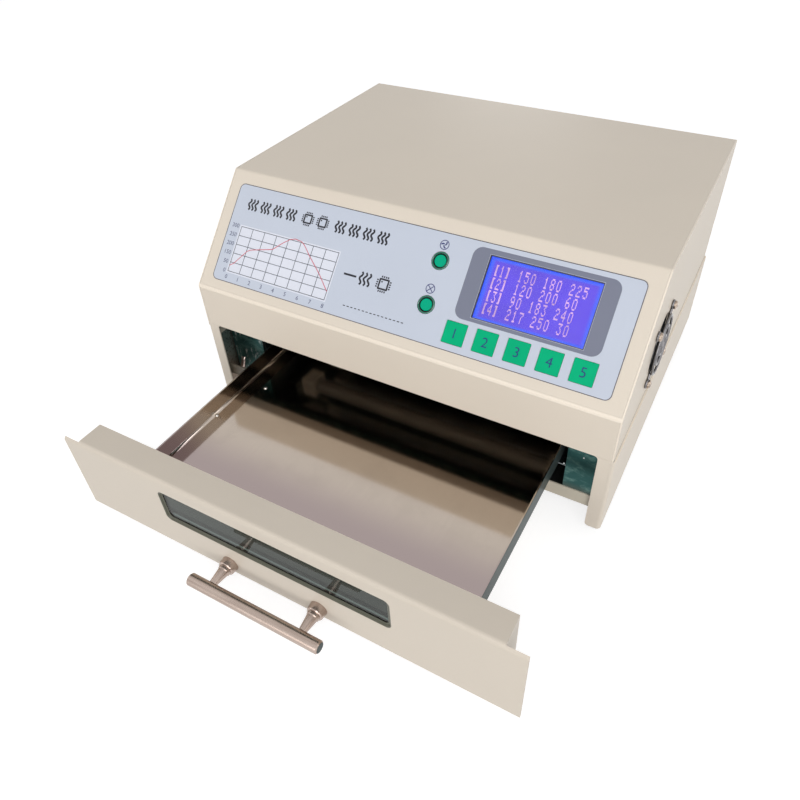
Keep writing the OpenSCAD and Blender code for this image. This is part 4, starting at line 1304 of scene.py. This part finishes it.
@dataclass
class Keys(Slope):
    """Five square keys in a row, each with its number."""

    first_x: float = 43.8
    pitch: float = 20.3
    s: float = 19.7
    proud: float = 0.6

    def build(self) -> None:
        """Rounds the keys' edges and prints a number on each."""
        green = Moulded("Key green", paint(0, 178, 124), 0.5, 0.3, 0.005, 0.0, 0.1)
        ink = Film("Key ink", paint(26, 70, 120), 0.4)
        for i, body in enumerate((Body.KEY_1, Body.KEY_2, Body.KEY_3, Body.KEY_4, Body.KEY_5)):
            self.soften(body.value, green, 0.22, body=body)
            number = self.numeral(str(i + 1), 6.2, self.first_x + i * self.pitch, self.s, self.proud + 0.01)
            self.inked(f"{body.value}_number", number, ink, body, body.value)
        self.dress("key_switches", Moulded("Switch plastic", paint(40, 40, 42), 0.5))


@dataclass
class Lamps(Slope):
    """Two green indicators in dark rings."""

    x: float = 20.0
    low_s: float = 31.8
    gap: float = 28.5

    def build(self) -> None:
        """Blows a domed, stepped lens over each lamp and rings it in dark green; the lamp and bezel beneath show in the
        gap, painted dark as shade.
        """
        lens = Moulded("Lens green", paint(0, 172, 132), 0.3, 1.0, 0.01, 0.0, 0.12)
        rim = Moulded("Rim green", paint(0, 104, 82), 0.12, 1.2, 0.02, 0.6)
        dark = Moulded("Lamp gap painted shade", paint(14, 34, 34), 0.2, 0.6, 0.01, 0.4)
        # Painted shade: the lamp and bezel under the lens and rim are dark for the shade in the gap.
        self.dress("indicator_lamps", dark)
        self.dress("indicator_bezels", dark)
        face = lathe([(-0.7, 3.95), (0.3, 3.85), (0.5, 3.6), (0.52, 0)], 40)
        ring = lathe([(-1.0, 5.86), (0.1, 5.86), (0.42, 5.7), (0.6, 5.35), (0.5, 5.0), (0.15, 4.75), (-1.0, 4.7)])
        for i, s in enumerate((self.low_s, self.low_s + self.gap)):
            for name, points, finish, slot in (("lens", face, lens, "indicator_lamps"),
                                               ("rim", ring, rim, "indicator_bezels")):
                shape = Shape().grid(self.at(turned_to(points, Axis.Z), self.x, s, 0), around=True, along=name == "rim")
                self.place(f"indicator_{name}_{i + 1}", shape.mesh(f"indicator_{name}"), finish, slot)


@dataclass
class Fans(Assembly):
    """The small fan in the right side with its bright guard, and the exhaust fan in the back."""

    def build(self) -> None:
        """Moulded frames and wheels, bright wire and screws."""
        frame_black = Moulded("Fan frame", paint(30, 31, 33), 0.42, 0.4)
        wheel = Moulded("Fan wheel", paint(20, 21, 23), 0.3, 0.5)
        chrome = Plated("Chrome wire", paint(126, 124, 126), 0.2, 0.6)
        for node in ("exhaust_fan_frame", "side_fan_frame"):
            self.dress(node, frame_black)
        self.dress("exhaust_impeller", wheel)
        self.dress("side_impeller", wheel)
        self.dress("exhaust_fan_guard", chrome)
        self.dress("side_fan_guard", chrome)
        self.dress("side_fan_screws", Plated("Screw nickel", paint(188, 172, 158), 0.22, 0.5))


@dataclass
class Chamber(Assembly):
    """The bright heating chamber with its tubes, reflector, runners and wool."""

    def build(self) -> None:
        """Rolled sheet, milky tubes and fibrous wool."""
        # The bulkhead's green-blue is a painted reflection.
        self.dress("chamber_front", Bulkhead("Bulkhead", paint(42, 84, 82), paint(92, 128, 122),
                                             paint(96, 88, 76), 0.013))
        sheet = Sheet("Chamber sheet", paint(120, 126, 128), Axis.Y, 0.3)
        for node in ("chamber_shell", "chamber_rear_wall", "drawer_runners", "heater_brackets"):
            self.dress(node, sheet)
        self.dress("reflector", Sheet("Reflector sheet", paint(214, 214, 216), Axis.X, 0.12, 0.04))
        self.dress("heater_tubes", Clear("Milky quartz", paint(238, 234, 226), 0.35, 1.46, 0.75))
        self.dress("heater_filaments", Plated("Resistance wire", paint(120, 92, 74), 0.35))
        self.dress("heater_end_caps", Moulded("Steatite", paint(232, 226, 212), 0.55, 0.6, 0.02))
        self.dress("insulation_blanket", Moulded("Ceramic wool", paint(224, 221, 210), 0.9, 1.4, 0.5))
        self.dress("temperature_probes", Plated("Probe steel", paint(180, 178, 176), 0.25))
        tab = Shape().grid(np.array([[(-144.2, 17.9, 20), (-147.2, 17.9, 20)], [(-147, 17.5, 10), (-150.6, 17.5, 10)],
                                     [(-149.6, 17.3, 2), (-153.4, 17.3, 2)]]))
        piece = self.place("mouth_tab", tab.mesh("mouth_tab", outward=False),
                           Plated("Tab steel", paint(196, 176, 168), 0.35, 0.6), "chamber_front")
        self.thicken(piece, 0.6, -1.0)
        speck = lathe([(-0.3, 0.6), (0.2, 0.55), (0.5, 0.25), (0.55, 0)], 10)
        drops = Shape()
        for x, z in ((129.4, 3.4), (131.6, 4.4), (133.6, 3.1), (134.8, 4.9), (133.4, 39.3), (121.4, 28.6)):
            drops.grid(turned_to(speck, Axis.Y, flip=True) + [x, 18.35, z], around=True)
        self.place("weld_drops", drops.mesh("weld_drops"), Plated("Weld drops", paint(228, 232, 230), 0.3),
                   "chamber_front")


@dataclass
class Rear(Assembly):
    """The mains inlet with its fuse drawer, and the rocker switch."""

    x: float = 62.0
    z: float = 128.2
    pivot: float = 253.8
    tilt: float = math.radians(9)
    hollow: float = 17.6
    hollow_at: float = 23.1

    def build(self) -> None:
        """Glossy and grained black plastics, and plated pins."""
        black = Moulded("Inlet plastic", paint(26, 26, 28), 0.38, 0.35)
        for node in ("mains_inlet", "switch_housing", "fuse_drawer"):
            self.dress(node, black)
        self.dress("power_rocker", Moulded("Rocker plastic", paint(18, 18, 20), 0.2, 0.5, 0.004, 0.3))
        self.dress("inlet_pins", Plated("Pin nickel", paint(208, 204, 196), 0.2))
        self.marks()

    def marks(self) -> None:
        """The rocker's bar and ring, laid on its hollow face and tilted with it.

        The face at height z lies at y = h - sqrt(r * r - z * z) from the pivot, for a hollow of radius r about y = h.
        """
        ring = flat_ring(rounded_ring(3.0, 3.0, 1.49, 8), rounded_ring(2.2, 2.2, 1.09, 8))[..., :2] - [0, 4.4]
        bar = stroke([(0, 3.0), (0, 5.8)], 0.5)[..., :2]
        shape = Shape()
        for flat, around in ((ring, True), (bar, False)):
            x, z = flat[..., 0], flat[..., 1]
            y = self.hollow_at - np.sqrt(self.hollow ** 2 - z ** 2) + 0.02
            shape.grid(np.stack([x + self.x, self.pivot + y * math.cos(self.tilt) - z * math.sin(self.tilt),
                                 self.z + y * math.sin(self.tilt) + z * math.cos(self.tilt)], axis=-1), around=around)
        ink = self.place("rocker_marks", shape.mesh("rocker_marks", outward=False),
                         Film("Rocker marks", paint(226, 226, 222), 0.4), "power_rocker", Body.POWER_ROCKER)
        self.thicken(ink, 0.06, 0.0)


@dataclass
class Electronics(Assembly):
    """The deck over the chamber with its transformer, boards and wiring."""

    def build(self) -> None:
        """Deck, core, coil, boards, relays, sink and loom."""
        self.dress("electronics_deck", Sheet("Deck zinc", paint(184, 188, 190), Axis.X, 0.35))
        self.dress("transformer_core", Moulded("Core steel", paint(78, 78, 82), 0.4, 0.6, 0.03))
        self.dress("transformer_coil", Wound("Coil copper", paint(196, 120, 58), Axis.Z))
        self.dress("power_board", Circuit("Power circuit", paint(14, 92, 58), paint(40, 132, 88)))
        self.dress("control_board", Circuit("Control circuit", paint(14, 92, 58), paint(40, 132, 88), SLOPE_ANGLE))
        self.dress("triac_heatsink", Sheet("Sink aluminium", paint(190, 192, 196), Axis.Y, 0.35))
        self.dress("power_relays", Moulded("Relay blue", paint(34, 92, 168), 0.3, 0.5))
        self.dress("board_spacers", Plated("Spacer nickel", paint(206, 200, 188), 0.2))
        self.dress("wiring_loom", Moulded("Red wire", paint(176, 30, 30), 0.4, 0.5))


@dataclass
class Drawer(Assembly):
    """The drawer: folded front, window, tray and its fixings."""

    body: Body = Body.DRAWER
    window_z: float = 38.8

    def build(self) -> None:
        """Enamels the front, polishes the tray and glazes the window."""
        _, face, rim = (float(value) for value in to_frame(np.array([0, -133.5, 62.4])))
        # The drawer's cream is the case's made darker as painted shade, and its front-to-rim fold gets a painted
        # highlight.
        enamel = Enamel("Drawer enamel", shade(Case.tone, 0.87), folds=(((0.0, 1.0, 0.0, face), (0.0, 0.0, 1.0, rim)),))
        self.soften("drawer_front", enamel, 0.35)
        # The tray's outer wall faces are painted dark as a reflection.
        steel = Sheet("Tray stainless", paint(186, 174, 162), Axis.Y, 0.1, 0.06, 0.06, 0.1171)
        self.soften("drawer_tray", steel, 0.15)
        self.bends(steel)
        self.gasket()
        self.dress("window_keeper", Sheet("Keeper steel", paint(150, 150, 150), Axis.X, 0.3))
        self.dress("window_glass", Clear("Window glass", paint(92, 108, 102), 0.02, 1.22, 1.0))
        self.dress("drawer_screws", Plated("Screw zinc", paint(205, 203, 198), 0.22))

    def bends(self, steel: Finish) -> None:
        """The tray's inner bends, each a quarter circle of 1.6 mm between floor and wall, and two weld studs.

        Args:
            steel: the tray's finish.
        """
        radius, floor, inner, back, front, sunk = 1.6, 25.5, 116.3, 76.0, -126.9, 0.02
        angle = np.linspace(0, np.pi / 2, 7)
        arc = radius * (1 - np.stack([np.sin(angle), np.cos(angle)], axis=-1))
        shape = Shape()
        for side in (-1, 1):
            across = side * (inner + sunk - arc[:, 0])
            shape.grid(np.stack([np.stack([across, np.full(7, y), floor - sunk + arc[:, 1]], axis=-1)
                                 for y in (front, back)]))
        shape.grid(np.stack([np.stack([np.full(7, x), back + sunk - arc[:, 0], floor - sunk + arc[:, 1]], axis=-1)
                             for x in (-inner, inner)]))
        bends = self.place("tray_bends", shape.mesh("tray_bends", outward=False), steel, "drawer_tray")
        self.thicken(bends, 0.12, 0.0)
        stud = lathe([(-0.2, 1.5), (0.3, 1.5), (0.8, 1.1), (1.0, 0)], 16)
        studs = Shape()
        for x, y in ((-114.6, -48.2), (-101.7, -8.7)):
            studs.grid(turned_to(stud, Axis.Z) + [x, y, floor], around=True)
        self.place("tray_studs", studs.mesh("tray_studs"), Plated("Stud steel", paint(205, 203, 198), 0.2),
                   "drawer_tray")

    def gasket(self) -> None:
        """A dark strip lining the window's edge as painted shade: a thin frame inside the hole, carried round its
        rounded outline; and a dark band behind the glass, widest at its top, as painted shade and reflection.
        """
        levels = ((0.05, -133.42), (0.5, -133.35), (1.0, -132.7), (1.1, -132.4), (1.9, -132.45), (2.2, -132.3),
                  (2.2, -132.05), (0.05, -132.05))
        hole_w, hole_h, hole_r = 160, 26.4, 4
        outlines = [(rounded_ring(hole_w - 2 * i, hole_h - 2 * i, hole_r - i * 0.6, 8), y) for i, y in levels]
        strip = Shape().grid(self.standing(outlines), around=True, along=True)
        # Painted shade: the olive-grey strip lining the window's cut edge.
        rubber = Moulded("Window sill painted shade", paint(84, 84, 70), 0.4)
        self.place("window_shade_liner", strip.mesh("window_shade_liner"), rubber, "window_keeper")
        # Painted shade and reflection: a dark band behind the glass, widest along its top.
        outer, inner = (rounded_ring(w, h, r, 8) - [0, drop] for w, h, r, drop in
                        ((159.6, 26.0, 3.8, 0), (155.6, 19.4, 2, 1.9)))
        band = self.standing([(outer, -129.9), (inner, -129.9), (inner, -129.3), (outer, -129.3)])
        top_shade = Shape().grid(band, around=True, along=True)
        self.place("window_top_shade", top_shade.mesh("window_top_shade"), Moulded("Window top painted shade", paint(58, 60, 50), 0.5),
                   "window_keeper")

    def standing(self, outlines: Sequence[tuple[np.ndarray, float]]) -> np.ndarray:
        """Outlines about the window's middle stood up in the front, each at its own depth.

        Args:
            outlines: pairs of a flat (n, 2) outline and its place from front to back.

        Returns:
            A grid with a row of places for each outline.
        """
        return np.stack([np.column_stack([ring[:, 0], np.full(len(ring), y), ring[:, 1] + self.window_z])
                         for ring, y in outlines])


@dataclass
class Handle(Assembly):
    """The bar handle on its two turned posts."""

    body: Body = Body.DRAWER
    nickel: Colour = paint(184, 168, 158)
    dark: Colour = paint(168, 151, 141)
    x: float = -1.5
    z: float = 9.5
    face: float = -133.5
    reach: float = 20.0
    length: float = 94.0
    gap: float = 65.0

    def build(self) -> None:
        """Turns the bar and the two collared posts in satin nickel."""
        half = self.length / 2
        middle = float(to_frame(np.array([self.x, 0, 0]))[0])
        end = [(half - 0.9, 4.0), (half - 0.15, 3.3), (half, 3.1), (half, 0)]
        bar = lathe([(-a, r) for a, r in reversed(end)] + end, 56) + [self.x, self.face - self.reach, self.z]
        # The bar's ends are painted near-black as a reflection.
        self.place("handle_bar_turned", Shape().grid(bar, around=True).mesh("handle_bar"),
                   Turned("Bar nickel", self.nickel, self.dark, Axis.X, 0.27, (middle, (half - 0.1) * MM)),
                   "handle_bar", replaces=("handle_bar",), crease=28)
        post = lathe([(0, 0), (0, 5.6), (0.4, 5.75), (4.5, 5.4), (5.1, 5.0), (5.3, 4.2), (6.7, 4.1), (7.1, 3.8),
                      (7.3, 3.6), (16.6, 2.4), (16.8, 0)])
        shape = Shape()
        for side in (-1, 1):
            foot = [self.x + side * self.gap / 2, self.face, self.z]
            shape.grid(turned_to(post, Axis.Y, flip=True) + foot, around=True)
        self.place("handle_posts_turned", shape.mesh("handle_posts"),
                   Turned("Post nickel", self.nickel, self.dark, Axis.Y, 0.22), "handle_posts",
                   replaces=("handle_posts",), crease=20)


@dataclass
class Studio:
    """Floor, light and camera."""

    azimuth: float = 0.5201
    elevation: float = 0.7161
    roll: float = -0.0337
    place: Point = (190.9232, -289.7454, 366.2753)
    reach: float = 691.953 / 800
    middle: tuple[float, float] = (418.1962, 380.8483)
    picture: float = 800.0
    sensor: float = 36.0
    ambient: float = 0.42
    aim: Point = (0.0, 0.0, 0.08)
    spread: float = 9000.0
    ground: float = -10.0

    def build(self) -> None:
        """Lays the floor, lights it softly and sets the camera."""
        self.floor()
        self.sky()
        self.lamp("Key light", (0.62, -1.05, 1.1), (0.9, 0.9), 7.4)
        self.lamp("Right light", (2.0, 0.5, 0.55), (1.2, 1.2), 6.0)
        self.lamp("Front light", (0.55, -2.3, 0.45), (3.6, 0.9), 22.5)
        self.lamp("Back light", (-0.8, 2.2, 0.3), (0.5, 0.5), 4.0)
        self.lamp("Left light", (-1.3, -0.5, 0.75), (0.9, 0.9), 3.0)
        self.camera()

    def floor(self) -> None:
        """A wide pale floor that shows white to the eye and to bright metal, and keeps its shadows."""
        corners = [[(x * self.spread, y * self.spread, self.ground) for x in (-1, 1)] for y in (-1, 1)]
        shape = Shape().grid(np.array(corners))
        piece = bpy.data.objects.new("floor", shape.mesh("floor", outward=False))
        bpy.context.scene.collection.objects.link(piece)
        pale = bpy.data.materials.new("Pale floor")
        graph = Graph(pale)
        drift = graph.noise((400, 400, 400), 2)
        graph.set(Base_Color=graph.blend(drift, (0.52, 0.52, 0.52), (0.54, 0.54, 0.54)), Roughness=0.9,
                  Specular_IOR_Level=0.1, Emission_Color=graph.blend(self.eye(graph), (0, 0, 0), (1, 1, 1)),
                  Emission_Strength=0.72)
        piece.data.materials.append(pale)

    @staticmethod
    def eye(graph: Graph) -> Reading:
        """1 for rays from the camera, from bright metal or through glass.

        Args:
            graph: the graph being drawn.

        Returns:
            1 or 0.
        """
        path = graph.make("ShaderNodeLightPath", out="Is Camera Ray")
        outs = path.socket.node.outputs
        return path.most(Reading(graph, outs["Is Glossy Ray"])).most(Reading(graph, outs["Is Transmission Ray"]))

    def sky(self) -> None:
        """A white world, dimmer where it only lights the object."""
        world = bpy.data.worlds.new("Soft white")
        bpy.context.scene.world = world
        graph = Graph(world)
        level = graph.make("ShaderNodeMapRange", None, {"Value": self.eye(graph), "To Min": self.ambient})
        graph.set(Color=(1, 1, 1), Strength=level)

    def lamp(self, name: str, place: Point, size: tuple[float, float], power: float) -> None:
        """A soft lamp of a width and a height, aimed at the middle of the oven.

        Args:
            name: its name.
            place: in metres.
            size: width and height in metres.
            power: in watts.
        """
        light = bpy.data.lights.new(name, "AREA")
        light.shape = "RECTANGLE"
        light.size, light.size_y = size
        light.energy = power
        made = bpy.data.objects.new(name, light)
        bpy.context.scene.collection.objects.link(made)
        made.location = place
        made.rotation_euler = (Vector(self.aim) - Vector(place)).to_track_quat("-Z", "Y").to_euler()

    def camera(self) -> None:
        """A pinhole whose axes are turned by azimuth, elevation and roll, with its middle shifted."""
        look = Vector((-math.sin(self.azimuth) * math.cos(self.elevation),
                       math.cos(self.azimuth) * math.cos(self.elevation), -math.sin(self.elevation)))
        right = look.cross(Vector((0, 0, 1))).normalized()
        up = right.cross(look)
        turn = Matrix.Rotation(-self.roll, 3, look)
        lens = bpy.data.cameras.new("Camera")
        lens.sensor_width = self.sensor
        lens.lens = self.reach * self.sensor
        lens.shift_x = 0.5 - self.middle[0] / self.picture
        lens.shift_y = self.middle[1] / self.picture - 0.5
        made = bpy.data.objects.new("Camera", lens)
        bpy.context.scene.collection.objects.link(made)
        axes = Matrix((turn @ right, turn @ up, -look)).transposed().to_4x4()
        axes.translation = Vector(to_frame(np.array(self.place)))
        made.matrix_world = axes
        bpy.context.scene.camera = made


def main() -> None:
    """Builds the sub-assemblies in order, and then the studio."""
    logging.basicConfig(level=logging.INFO, format="%(name)s: %(message)s", stream=sys.stdout)
    bpy.context.scene.view_settings.view_transform = "Standard"
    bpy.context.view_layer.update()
    for part in (Case(), Prints(), Display(), Keys(), Lamps(), Fans(), Chamber(), Rear(), Electronics(), Drawer(),
                 Handle()):
        LOG.info("%s", type(part).__name__)
        part.build()
    Studio().build()


if __name__ == "__main__":
    main()
